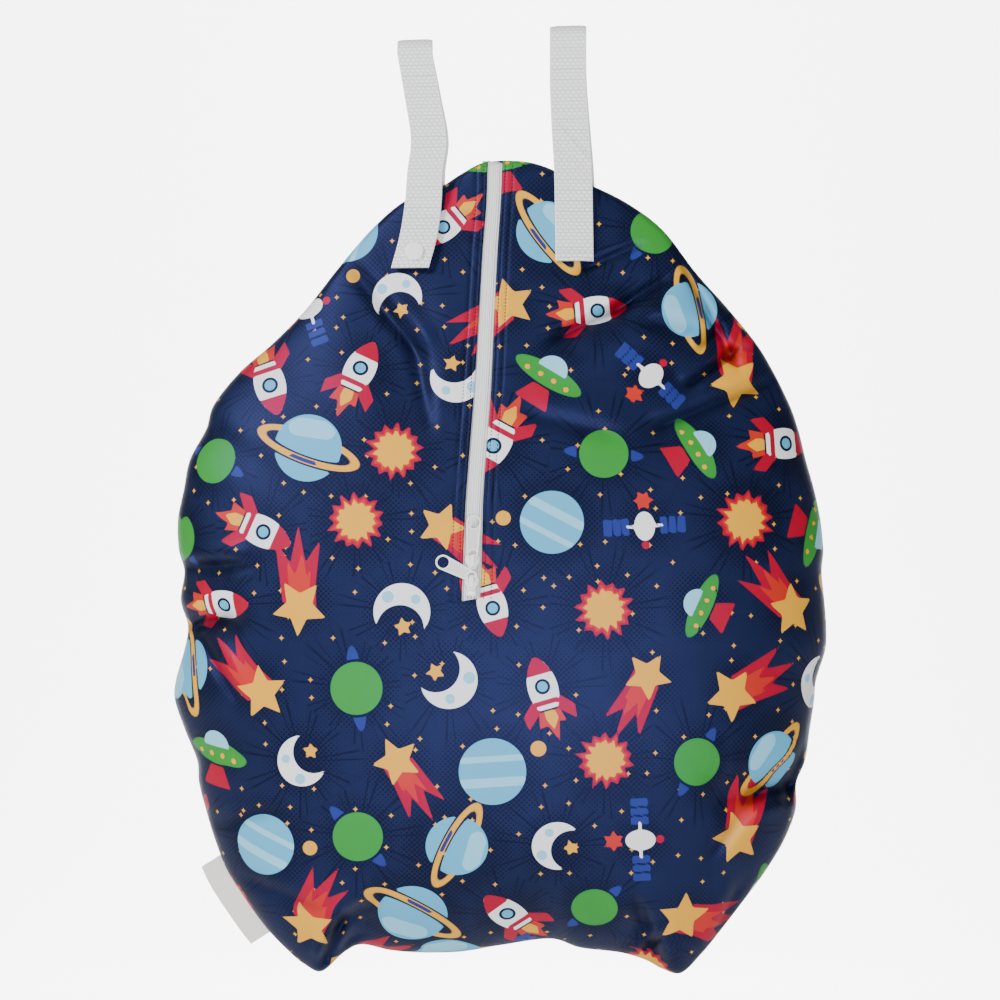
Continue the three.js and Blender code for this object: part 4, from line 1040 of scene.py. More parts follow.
# %% Stitches
def capsules(starts, ends, normals, radius, dip=0.35, sides=6, rows=5):
    """Bent capsules from start to end, highest in the middle, as one (points, faces)."""
    t = np.linspace(0, 1, rows)
    girth = radius * np.sqrt(np.clip(1 - (2 * t - 1) ** 4, 0.06, 1))
    lift = dip * (1 - (2 * t - 1) ** 2) - dip * 0.6
    middle = starts[:, None] + (ends - starts)[:, None] * t[:, None] + normals[:, None] * lift[:, None]
    side = np.cross(unit(ends - starts), normals)[:, None, None]
    angle = full_turn(sides)[:, None]
    ring = side * np.cos(angle) + normals[:, None, None] * np.sin(angle)
    points = middle[:, :, None] + ring * girth[:, None, None]
    one = grid_faces(rows, sides, wrap_columns=True)
    faces = (one[None] + (np.arange(len(starts)) * rows * sides)[:, None, None]).reshape(-1, 4)
    return points.reshape(-1, 3), faces


def stitch_line(path, normals, pitch, fill=0.72):
    """Starts, ends and normals of stitches along a path of points."""
    run = np.r_[0, np.cumsum(np.linalg.norm(np.diff(path, axis=0), axis=1))]
    first = np.arange(0, run[-1] - pitch, pitch)

    def at(s, field):
        """The field read at lengths along the path."""
        return np.stack([np.interp(s, run, field[:, k]) for k in range(3)], axis=1)

    return at(first, path), at(first + pitch * fill, path), unit(at(first + pitch / 2, normals))


def on_front(x, z):
    """Point and normal of the front cloth with its relief."""
    low, high = (off_cloth(front_depth, -1, x, z, front_relief(x, z) + rise) for rise in (0, 1))
    return low, high - low


parts = []
for row in STITCH_ROWS:
    for way in (-1, 1):
        z = np.linspace(-TOP_SEAM_BELOW - 3, -TOP_SEAM_BELOW - ZIP_LENGTH - 1, 400)
        path, up = on_front(zip_x(z) + way * (slot_half(z) + row), z)
        parts.append(capsules(*stitch_line(path, up, 2.4), 0.3))
stitch_points, stitch_faces = joined(*parts)
make_piece("zip_topstitches", stitch_points, stitch_faces, NAVY_THREAD)
print("topstitches", len(stitch_faces), "faces")


# %% [markdown]
# The zip is turned with its coil inwards, so the front shows woven tape with fine ridges along it
# and a parting line down the middle. No teeth need to be drawn: two ridged strips show what is seen.

# %% Zip tape and coil cover
CLOTH, LAID, COIL_THICK = 1.8, 0.9, 1.5
TAPE_UNDER = CLOTH + LAID
COIL_UNDER = TAPE_UNDER - GAP - COIL_THICK
ZIP_TOP_Z = -TOP_SEAM_BELOW
ZIP_END_Z = ZIP_TOP_Z - ZIP_LENGTH
TAPE_HALF, COVER_HALF, RIDGE_PITCH, RIDGE_RISE = 8.6, 3.2, 1.5, 0.13


def ridges(offsets):
    """Cosine across the tape, one ridge to a pitch."""
    return np.cos(offsets / RIDGE_PITCH * 2 * np.pi)


def zip_strip(name, end, offsets, heights, rows, seams, covers):
    """A strip along the zip: offsets across it, heights out of the cloth's outer face. Its weave
    attribute is painted shade: low between the ridges and along the seam lines, so the tape is greyer there."""
    z = np.linspace(ZIP_TOP_Z + 0.1, end, rows)[:, None] + 0 * offsets
    heights = heights + RIDGE_RISE * ridges(offsets)
    points = off_cloth(front_depth, -1, zip_x(z) + offsets, z, heights + 0 * z)
    woven = 0.5 + 0.25 * ridges(offsets)
    for seam in seams:
        woven = woven * (1 - 0.75 * np.exp(-((np.abs(offsets) - seam) / 0.22) ** 2))
    strip = make_piece(name, points, grid_faces(*z.shape), TAPE_LOOK, replaces=[covers],
                       fields={"weave": np.tile(woven, rows)})
    print(name, len(strip.data.polygons), "faces")


offsets = np.linspace(-TAPE_HALF, TAPE_HALF, 140)
swell = 1.35 * (1 - smoothstep(np.abs(offsets), 2.6, 6.4))
zip_strip("zip_ribbon", ZIP_END_Z - 6, offsets, swell - TAPE_UNDER, 150, (3.35,), "zip_tape")
offsets = np.linspace(-COVER_HALF, COVER_HALF, 60)
arched = 0.75 * (1 - (offsets / COVER_HALF) ** 4) - 0.35 * np.exp(-(offsets / 0.25) ** 2)
zip_strip("zip_coil_cover", ZIP_END_Z + 7.2, offsets, arched - COIL_UNDER - 1.0, 300, (0.0, 3.1), "zip_coil")


# %% [markdown]
# Small hard pieces sit in a frame on the zip: X across, Z up along it and Y into the bag, worked out
# from the cloth's own slope, as in the solids. They could be parented to empties; worked-out points
# keep every object at the origin.

# %% Places on the zip
def on_zip(z, up=0.0, swing=0.0):
    """Origin and axes of the frame at height z, moved up along it and swung to the left."""
    def cloth(z, out=0.0):
        """A point on the zip's middle line, moved out of the cloth."""
        return off_cloth(front_depth, -1, zip_x(np.array([z])), np.array([z]), out)[0]

    place = cloth(z)
    inwards = place - cloth(z, 1.0)
    across = unit(np.cross(inwards, cloth(z + 0.5) - cloth(z - 0.5)))
    along_zip = np.cross(across, inwards)
    turn = np.radians(swing)
    axes = np.stack([across * np.cos(turn) + along_zip * np.sin(turn), inwards,
                     along_zip * np.cos(turn) - across * np.sin(turn)])
    return place + along_zip * up, axes


def seated(points, seat):
    """The seat's origin plus each of a point's coordinates times the seat's axis."""
    origin, axes = seat
    return origin + points.reshape(-1, 3) @ axes


def painted_recess_shade(points, low, high, depth):
    """Painted shade of a seated piece's lower parts: depth at low, none from high outwards."""
    return {"painted_recess_shade": depth * (1 - smoothstep(-points.reshape(-1, 3)[:, 1], low, high))}


SLIDER_PLATE = 1.2
CROWN_LENGTH, CROWN_WIDTH, CROWN_BAR = 8.6, 3.0, 1.3
PULL_LENGTH, PULL_WIDTH, PULL_NECK = 29.5, 10.0, 7.6
PULL_THICK, PULL_RIM, PULL_EYE = 1.4, 1.7, 5.0
PIVOT_CLEAR, HOLE_EASE, LOWER_SWING = 0.45, 0.45, 66
PLATE_NEAR = GAP - COIL_UNDER
PLATE_FAR = PLATE_NEAR + SLIDER_PLATE
EYE_RIM = (PULL_NECK - PULL_EYE) / 2
RIM_SWEEP = np.hypot(PULL_THICK, EYE_RIM) / 2
PIVOT_OUT = PLATE_FAR + PIVOT_CLEAR + RIM_SWEEP
CROWN_OUT = PIVOT_OUT + RIM_SWEEP + PIVOT_CLEAR + CROWN_BAR
LEG_MIDDLE = CROWN_LENGTH / 2 - CROWN_BAR / 2
EYE_UP = LEG_MIDDLE - CROWN_BAR / 2 + np.sqrt((PULL_EYE / 2 - GAP) ** 2 - CROWN_WIDTH**2 / 4)
UPPER_Z, LOWER_Z = ZIP_TOP_Z - 263.7, ZIP_TOP_Z - 277.1
print("pull pivots", round(PIVOT_OUT, 2), "mm out")


# %% [markdown]
# A slider's top plate is a shield: wide at its shoulders and narrower at its foot, domed, with the
# crown as a rounded bar that bends from one end to the other over the pull's eye. Blocks cut from
# one another would have hard edges; domed and swept grids look cast.

# %% Sliders
SHIELD = np.array([(0.0, 5.2), (3.0, 5.0), (4.6, 3.2), (5.0, 0.6), (4.1, -1.6), (2.9, -3.6), (2.4, -5.0),
                   (0.0, -5.3)])
CHEEK_SHARE, CHEEK_FOOT, CHEEK_ACROSS = (0.12, 0.5), -2.3, 3.9


def domed_plate(half_outline, near, far, rings=10, count=96):
    """A plate with a rounded top edge over a symmetric outline."""
    ring = np.vstack([half_outline, (half_outline * [-1, 1])[-2:0:-1]])
    edge = closed_line(ring, count)
    t = np.linspace(0, np.pi / 2, rings)
    scale = np.r_[1.0, 1.0 - 0.22 * (1 - np.cos(t)), 0.4, 0.02]
    out = np.r_[near, far - 0.75 + 0.6 * np.sin(t), far + 0.02, far + 0.05]
    points = side_by_side(edge[:, 0] * scale[:, None], -out[:, None], edge[:, 1] * scale[:, None])
    return points, grid_faces(len(scale), count, wrap_columns=True)[:, ::-1]


def swept_bar(path, width, thick, count=20, power=4.0):
    """A rounded bar along a path in the (out, up) plane; the section is a superellipse."""
    tangent = unit(np.gradient(path, axis=0))
    turn = full_turn(count)
    wide, deep = (np.sign(f) * np.abs(f) ** (2 / power) for f in (np.cos(turn), np.sin(turn)))
    out = path[:, :1] + tangent[:, 1:] * thick / 2 * deep
    up = path[:, 1:] - tangent[:, :1] * thick / 2 * deep
    return side_by_side(width / 2 * wide, -out, up), grid_faces(len(path), count, wrap_columns=True)


def slider_body():
    """Top plate, the crown that bends over the pull's eye, and a cheek on each side."""
    middle, bend = CROWN_OUT - CROWN_BAR / 2, 1.3
    t = np.linspace(0, np.pi / 2, 8)
    rise = np.linspace(PLATE_FAR - 0.3, middle - bend, 6)[:-1]
    half = np.vstack([
        side_by_side(rise, LEG_MIDDLE),
        side_by_side(middle - bend + bend * np.sin(t), LEG_MIDDLE - bend + bend * np.cos(t)),
    ])
    path = np.vstack([half, [(middle, 0.0)], (half * [1, -1])[::-1]])
    cheek, faces = domed_plate(SHIELD * CHEEK_SHARE, CHEEK_FOOT, PLATE_FAR - 0.5)
    cheeks = [(cheek + [way * CHEEK_ACROSS, 0, 0], faces) for way in (-1, 1)]
    crown = swept_bar(path, CROWN_WIDTH, CROWN_BAR, power=3.0)
    return joined(domed_plate(SHIELD, PLATE_NEAR, PLATE_FAR + 0.25), crown, *cheeks)


for name, z in (("upper_slider", UPPER_Z), ("lower_slider", LOWER_Z)):
    points, faces = slider_body()
    made = make_piece(name + "_body", seated(points, on_zip(z)), faces, ENAMEL_LOOK, replaces=[name],
                      fields=painted_recess_shade(points, PLATE_NEAR + 0.3, PLATE_FAR + 0.2, 0.75))
print("slider", len(made.data.polygons), "faces")


# %% [markdown]
# A pull is a tapered plate with a rim that stands proud all round, and round the finger hole and the
# eye. The plate with its two holes is filled from flat curves, and each rim is a round wire bent
# along an edge.

# %% Pulls
def tapered_outline(inset, count=48):
    """Two round ends joined by straight tangents, inset from the pull's own edge."""
    neck, wide = PULL_NECK / 2 - inset, PULL_WIDTH / 2 - inset
    outer = PULL_LENGTH - PULL_WIDTH / 2 - PULL_NECK / 2
    lean = np.arcsin((wide - neck) / outer)
    top = np.linspace(-lean, np.pi + lean, count)
    foot = np.linspace(np.pi + lean, 2 * np.pi - lean, count)
    return np.vstack([side_by_side(wide * np.cos(top), outer + wide * np.sin(top)),
                      side_by_side(neck * np.cos(foot), neck * np.sin(foot))])


def ring_line(radius, up, count=48):
    """Points evenly spaced on a circle."""
    return side_by_side(radius * np.cos(full_turn(count)), up + radius * np.sin(full_turn(count)))


print("pull outline", len(tapered_outline(0)), "points")


# %% [markdown]
# A filled flat curve makes a plate with holes in one step, where a boolean would leave long thin
# faces. A rim is a wire bent along the edge's own line.

# %% Plates and rims
def filled_plate(edge, holes, near, far):
    """Flat plate with holes: filled faces on both sides and walls round every edge."""
    curve = bpy.data.curves.new("pull_plan", "CURVE")
    curve.dimensions, curve.fill_mode = "2D", "BOTH"
    curve.extrude = (far - near) / 2
    for loop in [edge, *holes]:
        spline = curve.splines.new("POLY")
        spline.points.add(len(loop) - 1)
        spline.points.foreach_set("co", np.c_[loop, np.zeros(len(loop)), np.ones(len(loop))].ravel())
        spline.use_cyclic_u = True
    holder = bpy.data.objects.new("pull_plan", curve)
    bpy.context.scene.collection.objects.link(holder)
    made = holder.to_mesh()
    made.calc_loop_triangles()
    points = np.empty(len(made.vertices) * 3)
    made.vertices.foreach_get("co", points)
    faces = np.empty(len(made.loop_triangles) * 3, dtype=np.int64)
    made.loop_triangles.foreach_get("vertices", faces)
    holder.to_mesh_clear()
    bpy.data.objects.remove(holder)
    right, up, deep = points.reshape(-1, 3).T
    return side_by_side(right, -(near + far) / 2 - deep, up), faces.reshape(-1, 3)


def wire(loop, out, radius, sides=10):
    """A round wire bent along a closed flat line."""
    way = unit(np.roll(loop, -1, axis=0) - np.roll(loop, 1, axis=0))
    angle = full_turn(sides)
    flat = loop[:, None] + (way[:, ::-1] * [1, -1])[:, None] * (radius * np.cos(angle))[:, None]
    points = side_by_side(flat[..., 0], -out - radius * np.sin(angle), flat[..., 1])
    quads = grid_faces(len(loop), sides, wrap_rows=True, wrap_columns=True)
    return points, np.vstack([quads[:, [0, 1, 2]], quads[:, [0, 2, 3]]])


def pull_parts():
    """The plate with its two holes, and rims round its edge, the finger hole and the eye."""
    outer = PULL_LENGTH - PULL_WIDTH / 2 - PULL_NECK / 2
    hole = PULL_WIDTH / 2 - PULL_RIM + HOLE_EASE
    near, far = PIVOT_OUT - PULL_THICK / 2, PIVOT_OUT + PULL_THICK / 2
    plate = filled_plate(tapered_outline(0.35), [ring_line(hole, outer), ring_line(PULL_EYE / 2, 0)],
                         near + 0.25, far - 0.55)
    return joined(plate, wire(tapered_outline(0.7), PIVOT_OUT, 0.7),
                  wire(ring_line(hole + 0.58, outer), PIVOT_OUT + 0.1, 0.6),
                  wire(ring_line(PULL_EYE / 2 + 0.55, 0), PIVOT_OUT + 0.02, 0.6))


for name, seat in (("upper_pull", on_zip(UPPER_Z, EYE_UP)),
                   ("lower_pull", on_zip(LOWER_Z, LEG_MIDDLE, LOWER_SWING))):
    points, faces = pull_parts()
    made = make_piece(name + "_plate", seated(points, seat), faces, ENAMEL_LOOK, body=name, replaces=[name],
                      fields=painted_recess_shade(points, PIVOT_OUT + 0.1, PIVOT_OUT + 0.55, 0.34))
print("pull", len(made.data.polygons), "faces")

# %% [markdown]
# The bottom stop is a moulded block across the end of the coil. It is the slider's domed plate again,
# over another outline. Three dark notches below it stand for the gaps between the coil's last teeth,
# and a dark line runs across its top edge; both are thin plates of painted shade.

# %% Bottom stop
STOP_LENGTH, STOP_THICK, STOP_ABOVE_END = 4.4, 1.6, 2.4
STOP_Z = ZIP_END_Z + STOP_ABOVE_END + STOP_LENGTH / 2
STOP_HALF = np.array([(0.0, 2.2), (2.6, 2.2), (3.15, 1.9), (3.15, -1.9), (2.6, -2.2), (0.0, -2.2)])
NOTCH = np.array([(0, 0.45), (0.5, 0.4), (0.6, -0.5), (0, -0.9)])
CROSSING = np.array([(0, 0.28), (2.9, 0.28), (3.0, -0.28), (0, -0.28)])
stop_near = GAP - TAPE_UNDER
block = domed_plate(STOP_HALF, stop_near, stop_near + STOP_THICK + 0.3)
# Painted shade: thin dark plates in three notches below the block and in a line across its top.
painted_shade_plates = []
for plan, right, up in ((NOTCH, -2.1, -3.3), (NOTCH, 0, -3.3), (NOTCH, 2.1, -3.3), (CROSSING, 0, 2.5)):
    points, faces = domed_plate(plan, stop_near, 1.75 - TAPE_UNDER)
    painted_shade_plates.append((points + [right, 0, up], faces))
points, faces = joined(block, *painted_shade_plates)
shade = painted_recess_shade(points, stop_near + 0.5, stop_near + STOP_THICK, 0.7)["painted_recess_shade"]
# The plates are painted shade, almost fully grey.
shade[block[0].size // 3:] = 0.85
stop = make_piece("stop_block", seated(points, on_zip(STOP_Z)), faces, ENAMEL_LOOK,
                  replaces=["bottom_stop"], fields={"painted_recess_shade": shade})
print("stop", len(stop.data.polygons), "faces")


# %% [markdown]
# A loop is one length of webbing, 25 mm wide, from its front hem over the rail to its rear hem. The
# left one opens at a press stud and hangs a little lower, the right one is sewn shut.

# %% Sizes of the loops
WEB_WIDTH, WEB_THICK, LOOP_RADIUS = 25.0, 1.6, 8.0
WEB_HEM_BELOW, LOOP_STEP, LOOP_SPACING, BACK_LEG_SHIFT = 150.0, 9.2, 101.0, 2.6
EASE, SMOOTHING = 0.5, 2.0
STUD_CAP, STUD_SOCKET, STUD_SOCKET_THICK = 12.8, 11.0, 2.0
STUD_BASE, STUD_ABOVE_HEM, STUD_LIFT_ENDS = 0.7, 10.8, 35.0
MIDDLE_RADIUS = LOOP_RADIUS + WEB_THICK / 2
RIGHT_TOP_Z = LOOP_STEP / 2 + WEB_THICK
STUD_Z = STUD_ABOVE_HEM - WEB_HEM_BELOW - LOOP_STEP / 2
STUD_STACK = EASE + STUD_BASE + GAP + STUD_SOCKET_THICK + EASE
FLOATS_ACROSS, FLOAT_LONG, WEAVE_RISE = 7, 2.35, 0.5
# down, side, turn
LEFT_LEG = np.array([(0, 0, 22), (0.2, 0.2, 20), (0.4, 0.37, 18), (0.55, 0.27, 20), (0.7, 0.22, 14),
                     (0.85, 0.1, 8), (1, -0.12, 6)], dtype=float)
RIGHT_LEG = np.array([(0, 0, 18), (0.2, 0, 16), (0.4, 0.06, 8), (0.6, 0.13, 2), (0.8, 0.15, 0),
                      (1, 0.16, 0)], dtype=float)
# Soft creases across the webbing: from and to in picture-plane millimetres, width, rise.
LEFT_CREASES = ((-60, -77, -32, -67, 3.0, 1.0), (-62, -58, -30, -64, 4.0, -0.7),
                (-66, -150, -58, -140, 4.0, -0.9))
RIGHT_CREASES = ((44, -62, 68, -88, 2.6, 1.1), (40, -70, 70, -96, 4.0, -0.8),
                 (38, -40, 66, -46, 5.0, 0.6))


print("stud", round(STUD_STACK, 1), "mm high under the webbing")


# %% [markdown]
# A loop hangs from the rail, bends over it and lies down on the cloth. It could be a curve with a
# bevel, but the webbing also leans, curls and is pressed against the belly, so its middle surface is
# worked out from the run along it and the place across it.

# %% The path of a loop
def stud_lift(z):
    """The left loop stands off the cloth by the stud's height, easing down above it."""
    settled = smoothstep(z, STUD_Z + STUD_SOCKET / 2, STUD_Z + STUD_LIFT_ENDS)
    return STUD_STACK + (LAID - STUD_STACK) * settled


def loop_sizes(creases, leg, x, top, hem, lift):
    """A loop's own sizes: turn_z is where it starts to bend, leg_run the length up to there."""
    turn_z = top - LOOP_RADIUS - WEB_THICK
    return dict(creases=creases, leg=leg, x=x, hem=hem, lift=lift, turn_z=turn_z, leg_run=turn_z - hem)


LOOPS = {
    "left": loop_sizes(LEFT_CREASES, LEFT_LEG, -LOOP_SPACING / 2, RIGHT_TOP_Z - LOOP_STEP,
                       -WEB_HEM_BELOW - LOOP_STEP / 2, stud_lift),
    "right": loop_sizes(RIGHT_CREASES, RIGHT_LEG, LOOP_SPACING / 2, RIGHT_TOP_Z, -WEB_HEM_BELOW,
                        lambda z: np.full_like(z, LAID)),
}


def webbing_creases(rows, x, z):
    """Sum of ridges along short lines, each a bell across its line that fades past its ends."""
    total = np.zeros_like(x)
    for *ends, width, rise in rows:
        past, left = beside(x, z, *ends)
        total += rise * np.exp(-(past / (2 * width)) ** 2 - (left / width) ** 2)
    return total


def web_point(loop, s, off):
    """Middle surface: s is the run from the front hem, off the place across the webbing."""
    turn_z, leg = loop["turn_z"], loop["leg_run"]
    bend = np.pi * MIDDLE_RADIUS
    over = np.clip((s - leg) / bend, 0, 1) * np.pi
    on_rear = s > leg + bend / 2
    rear_run = np.maximum(s - leg - bend, 0)
    bent_z = np.where(rear_run > 0, turn_z - rear_run, turn_z + MIDDLE_RADIUS * np.sin(over))
    z = np.where(s < leg, loop["hem"] + s, bent_z)
    down = np.clip((turn_z - z) / leg, 0, 1)
    turn = np.radians(along(loop["leg"], 2, down))
    shift = along(loop["leg"], 1, down) * WEB_WIDTH + np.where(on_rear, BACK_LEG_SHIFT * down, 0)
    round_top = np.sqrt(np.clip(1 - (np.abs(off) / (WEB_WIDTH / 2 + 4)) ** 6, 0, 1))
    x = loop["x"] + shift + off * np.cos(turn)
    z = np.where(z > turn_z, turn_z + (z - turn_z) * round_top, z)
    y = -MIDDLE_RADIUS * np.cos(over) - off * np.sin(turn)
    y = y - np.where(on_rear, 0, webbing_creases(loop["creases"], x, z))
    side = np.where(on_rear, 1.0, -1.0)
    cloth = np.where(on_rear, back_depth(x, z), front_depth(x, z))
    laid = GAP / 2 + cloth + WEB_THICK / 2 + np.where(on_rear, LAID, loop["lift"](z))
    hanging = side * y
    pressed = side * (hanging + laid + np.hypot(hanging - laid, SMOOTHING)) / 2
    on_cloth = (cloth > 0) & ((s < leg) | (rear_run > 0))
    return side_by_side(x, np.where(on_cloth, pressed, y), z)


def web_normal(loop, s, off, probe=0.6):
    """Unit normal of the middle surface, from its neighbours across and along."""
    right = web_point(loop, s, off + probe) - web_point(loop, s, off - probe)
    ahead = web_point(loop, s + probe, off) - web_point(loop, s - probe, off)
    return unit(np.cross(right, ahead))


print("loops", {name: round(loop["leg_run"]) for name, loop in LOOPS.items()}, "mm legs")


# %% [markdown]
# Basket-weave webbing could be bump alone, but it shows at the edges, so it is real relief: each
# float is a small pillow, and rows are staggered by half a float.

# %% Weaving the loops
def weave(s, off):
    """Height of the basket weave: sqrt(|sin across| * |sin along|), rows staggered by half."""
    row = np.floor(s / FLOAT_LONG)
    across = np.abs(np.sin(np.pi * (off * FLOATS_ACROSS / WEB_WIDTH + 0.5 * (row % 2))))
    return np.sqrt(across * np.abs(np.sin(np.pi * s / FLOAT_LONG)))


def webbing(loop, face_count=46, edge_count=5):
    """Closed section of two woven faces and two rounded edges, swept along the loop."""
    length = 2 * loop["leg_run"] + np.pi * MIDDLE_RADIUS
    s = np.arange(0, length, 0.54)
    edge = WEB_WIDTH / 2 - 0.5
    face = np.linspace(-edge, edge, face_count)
    turn = np.linspace(0, np.pi, edge_count + 2)[1:-1]
    flat, bent = np.ones(face_count), np.zeros(edge_count)
    off = np.r_[face, edge + 0.5 * np.sin(turn), face[::-1], -edge - 0.5 * np.sin(turn)]
    lift = np.r_[flat, np.cos(turn), -flat, -np.cos(turn)]
    on_face = np.r_[flat, bent, flat, bent]
    run, place = np.meshgrid(s, off, indexing="ij")
    scallop = 1 + 0.012 * np.abs(np.sin(np.pi * run / FLOAT_LONG)) - 0.006
    woven = weave(run, place)
    half = (WEB_THICK / 2 - 0.12) * lift + np.sign(lift) * (woven - 0.55) * WEAVE_RISE * on_face
    points = web_point(loop, run, place * scallop) + web_normal(loop, run, place) * half[..., None]
    faces = [grid_faces(len(s), len(off), wrap_columns=True)[:, ::-1]]
    for row, way in ((0, 1), (len(s) - 1, -1)):
        rim = row * len(off) + np.arange(len(off))
        top = rim[:face_count]
        low = rim[face_count + edge_count:2 * face_count + edge_count][::-1]
        faces.append(np.stack([top[:-1], top[1:], low[1:], low[:-1]], axis=1)[:, ::way])
    return points, np.vstack(faces), (1 + (woven - 1) * on_face).ravel(), length


for name, loop in LOOPS.items():
    points, faces, woven, length = webbing(loop)
    # The weave field paints shade: the webbing is greyer between its floats.
    made = make_piece(name + "_webbing", points, faces, WEBBING_LOOK, replaces=[name + "_loop"],
                      fields={"weave": woven})
    print(name, "webbing", round(length), "mm long,", len(made.data.polygons), "faces")


# %% [markdown]
# The right loop is sewn down through all its layers: three short rows of white thread run across it
# just above the hem. They lie over the weave like any lockstitch.

# %% Stitches of the right loop
loop, sewn = LOOPS["right"], []
across = np.linspace(-WEB_WIDTH / 2 + 1, WEB_WIDTH / 2 - 1, 60)
for run in (2.2, 5.4, 8.6):
    s = np.full(60, run)
    out = web_normal(loop, s, across)
    path = web_point(loop, s, across) + out * (WEB_THICK / 2 + 0.12)
    sewn.append(capsules(*stitch_line(path, out, 1.9), 0.32))
points, faces = joined(*sewn)
# These stitches have no weave field, so the tape's painted shade colour covers them all over.
make_piece("loop_topstitches", points, faces, TAPE_LOOK)
print("loop stitches", len(faces), "faces")


# %% [markdown]
# The press stud sits near the left loop's hem: a glossy cap with a faint dimple outside, the socket
# inside the webbing and the knob on the cloth. Each is turned from a profile, as on a lathe.

# %% Press stud
def turned(name, profile, node_name, flipped=False, count=64):
    """Rows of (radius, out) turned about the stud's own axis and seated as a piece."""
    radius, out = np.array(profile, dtype=float).T[..., None]
    points = side_by_side(radius * np.cos(full_turn(count)), -out, radius * np.sin(full_turn(count)))
    faces = grid_faces(len(profile), count, wrap_columns=True)
    faces = faces[:, ::-1] if flipped else faces
    make_piece(name, seated(points, STUD_SEAT), faces, STUD_LOOK, replaces=[node_name])
    print(name, len(faces), "faces")


def stud_seat():
    """Origin and axes in the middle of the left loop's webbing, Y into the bag."""
    loop = LOOPS["left"]
    s, zero, half = np.array([STUD_Z - loop["hem"]]), np.zeros(1), np.array([STUD_CAP / 2])
    right = unit((web_point(loop, s, half) - web_point(loop, s, -half))[0])
    up = (web_point(loop, s + half, zero) - web_point(loop, s - half, zero))[0]
    inwards = unit(np.cross(up, right))
    return web_point(loop, s, zero)[0], np.stack([right, inwards, np.cross(right, inwards)])


STUD_SEAT, AXIS = stud_seat(), 0.02
SOCKET_OUT = -WEB_THICK / 2 - EASE
SOCKET_IN = SOCKET_OUT - STUD_SOCKET_THICK
BASE_OUT = SOCKET_IN - GAP
near, rim = WEB_THICK / 2 + GAP, STUD_CAP / 2
arc = np.linspace(0, np.pi / 2, 12)
dome = side_by_side(rim - 1.1 + 1.1 * np.cos(arc), near + 0.5 + 1.1 * np.sin(arc))
crown = [(4.2, near + 1.78), (3.2, near + 1.86), (2.6, near + 1.78), (1.6, near + 1.7), (AXIS, near + 1.68)]
cap = [(AXIS, near), (rim, near), (rim, near + 0.2), *dome, *crown]
turned("stud_cap_dome", cap, "stud_cap", flipped=True)
turned("stud_socket_ring", [
    (AXIS, SOCKET_OUT), (5.3, SOCKET_OUT), (5.5, SOCKET_OUT - 0.2), (5.5, SOCKET_IN + 0.4), (5.2, SOCKET_IN),
    (2.4, SOCKET_IN), (2.3, SOCKET_IN + 0.2), (2.3, SOCKET_IN + 1.5), (AXIS, SOCKET_IN + 1.5),
], "stud_socket")
turned("stud_base_knob", [
    (AXIS, BASE_OUT - STUD_BASE), (5.5, BASE_OUT - STUD_BASE), (5.5, BASE_OUT - 0.15), (5.3, BASE_OUT),
    (2.0, BASE_OUT), (2.0, BASE_OUT + 1.2), (1.7, BASE_OUT + 1.5), (AXIS, BASE_OUT + 1.5),
], "stud_base", flipped=True)


# %% [markdown]
# The label is a blank ribbon folded once, with both ends caught in the left seam. It curls a little
# forward along its free edge. A section of the fold is swept along the seam.

# %% Label
LABEL_LENGTH, LABEL_WIDTH, LABEL_DOWN, LABEL_CURL, LABEL_HALF = 51.0, 14.3, 0.902, 2.0, 0.42
label_half = LABEL_LENGTH / 2 / BAG_DROP
downs = np.linspace(LABEL_DOWN - label_half, LABEL_DOWN + label_half, 60)
seam = side_by_side(across_to_x(-along(SIDES, 1, downs)), 0, down_to_z(downs))
chord = unit(seam[-1] - seam[0])
proud = np.array([chord[2], 0, -chord[0]])
run = np.linspace(-1.5, LABEL_WIDTH, 20)
turn = np.linspace(-np.pi / 2, np.pi / 2, 7)[1:-1]
out, height = np.vstack([
    side_by_side(run, -LABEL_HALF),
    side_by_side(LABEL_WIDTH + LABEL_HALF * np.cos(turn), LABEL_HALF * np.sin(turn)),
    side_by_side(run[::-1], LABEL_HALF),
]).T
curl = LABEL_CURL * np.sin(np.linspace(0, np.pi, 60))[:, None] * out.clip(min=0) / LABEL_WIDTH
points = seam[:, None] + proud * out[:, None] + side_by_side(0, curl + height, 0)
label = make_piece("label_ribbon", points, grid_faces(60, len(out)), LABEL_LOOK, replaces=["side_label"])
print("label", len(label.data.polygons), "faces")


# %% [markdown]
# The stage is a pale floor that curves up into a wall far behind the bag. A dark cloth beside white
# webbing wants one key light near the lens, a small light from the left that shows the white pieces'
# edges, and a light of the wall's own.

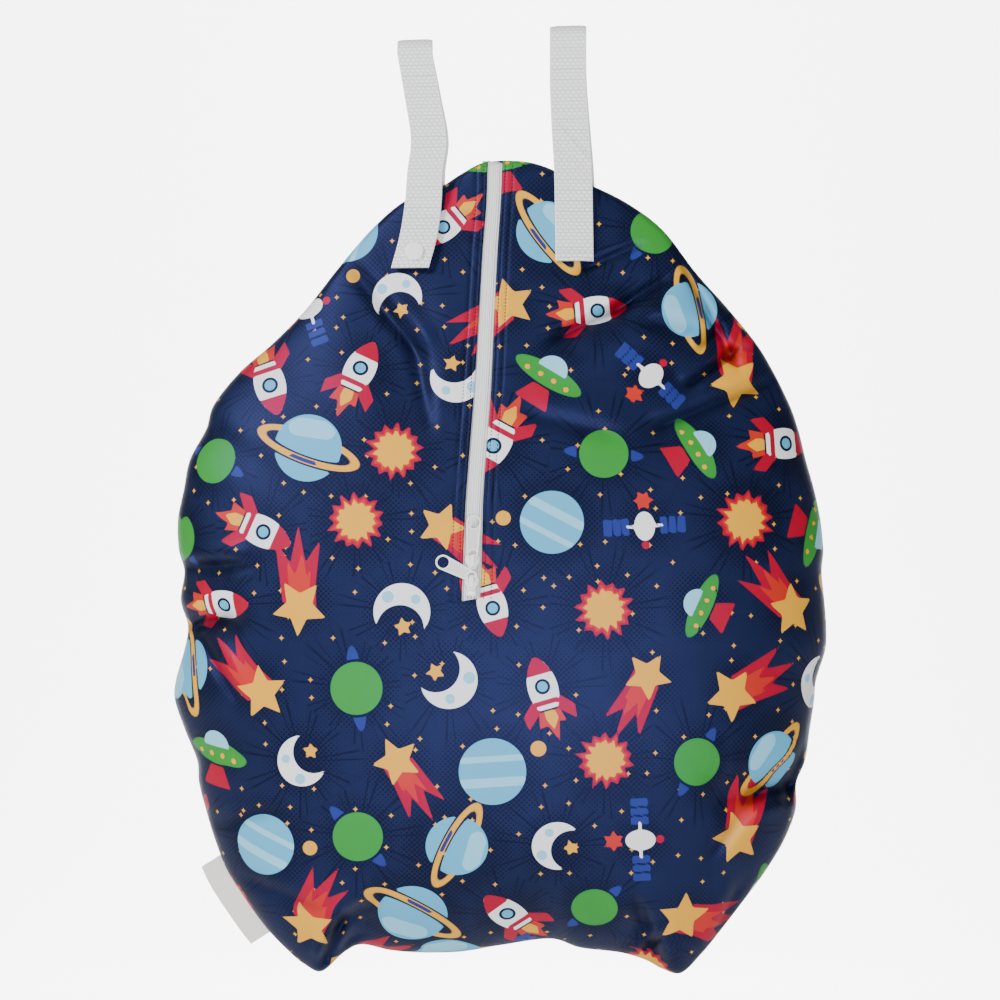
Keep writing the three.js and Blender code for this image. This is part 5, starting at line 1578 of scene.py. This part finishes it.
# %% Stage and lights
FLOOR_Z, WALL_Y, SWEEP = -0.9, 5.6, 2.0
STAGE_HALF, WALL_TOP = 6.0, 6.0


def stage_sweep():
    """Floor and wall joined by a quarter circle, with the wall further off than any camera."""
    turn = np.linspace(0, np.pi / 2, 24)
    curve = side_by_side(WALL_Y - SWEEP + SWEEP * np.sin(turn), FLOOR_Z + SWEEP - SWEEP * np.cos(turn))
    y, z = np.vstack([[(-STAGE_HALF, FLOOR_Z)], curve, [(WALL_Y, WALL_TOP)]]).T[..., None]
    points = side_by_side(np.array([-STAGE_HALF, STAGE_HALF]), y, z)
    mesh = bpy.data.meshes.new("floor")
    mesh.from_pydata(points.reshape(-1, 3).tolist(), [], grid_faces(len(y), 2).tolist())
    mesh.polygons.foreach_set("use_smooth", np.ones(len(mesh.polygons), dtype=bool))
    floor = bpy.data.objects.new("floor", mesh)
    bpy.context.scene.collection.objects.link(floor)
    r = Recipe("pale_floor", 0.9)
    cloud = r.add("TexNoise", {"Scale": 3.0})
    r.connect(r.shader, {"Base Color": r.mixed(cloud, rgb(249, 249, 249), rgb(252, 252, 252))})
    mesh.materials.append(r.material)


def soft_light(name, place, aim, size, power):
    """A square area light at a place, in metres, turned to its aim."""
    lamp = bpy.data.lights.new(name, "AREA")
    lamp.shape, lamp.size, lamp.energy = "SQUARE", size, power
    made = bpy.data.objects.new(name, lamp)
    bpy.context.scene.collection.objects.link(made)
    made.location = place
    right, deep, up = np.subtract(aim, place)
    made.rotation_euler = (np.arctan2(np.hypot(right, deep), -up), 0, np.arctan2(-right, deep))


stage_sweep()
soft_light("key", (0.35, -3.0, -0.75), (0, 0, -0.35), 1.0, 105)
soft_light("side", (-1.9, -1.7, 1.5), (0, 0, -0.3), 0.8, 95)
soft_light("wall", (0, 2.5, 1.5), (0, 5.0, -0.2), 1.6, 640)
world = bpy.data.worlds.new("studio")
world.use_nodes = True
world.node_tree.nodes["Background"].inputs[0].default_value = (1, 1, 1, 1)
world.node_tree.nodes["Background"].inputs[1].default_value = 0.22
bpy.context.scene.world = world
print("lights", len(bpy.data.lights))
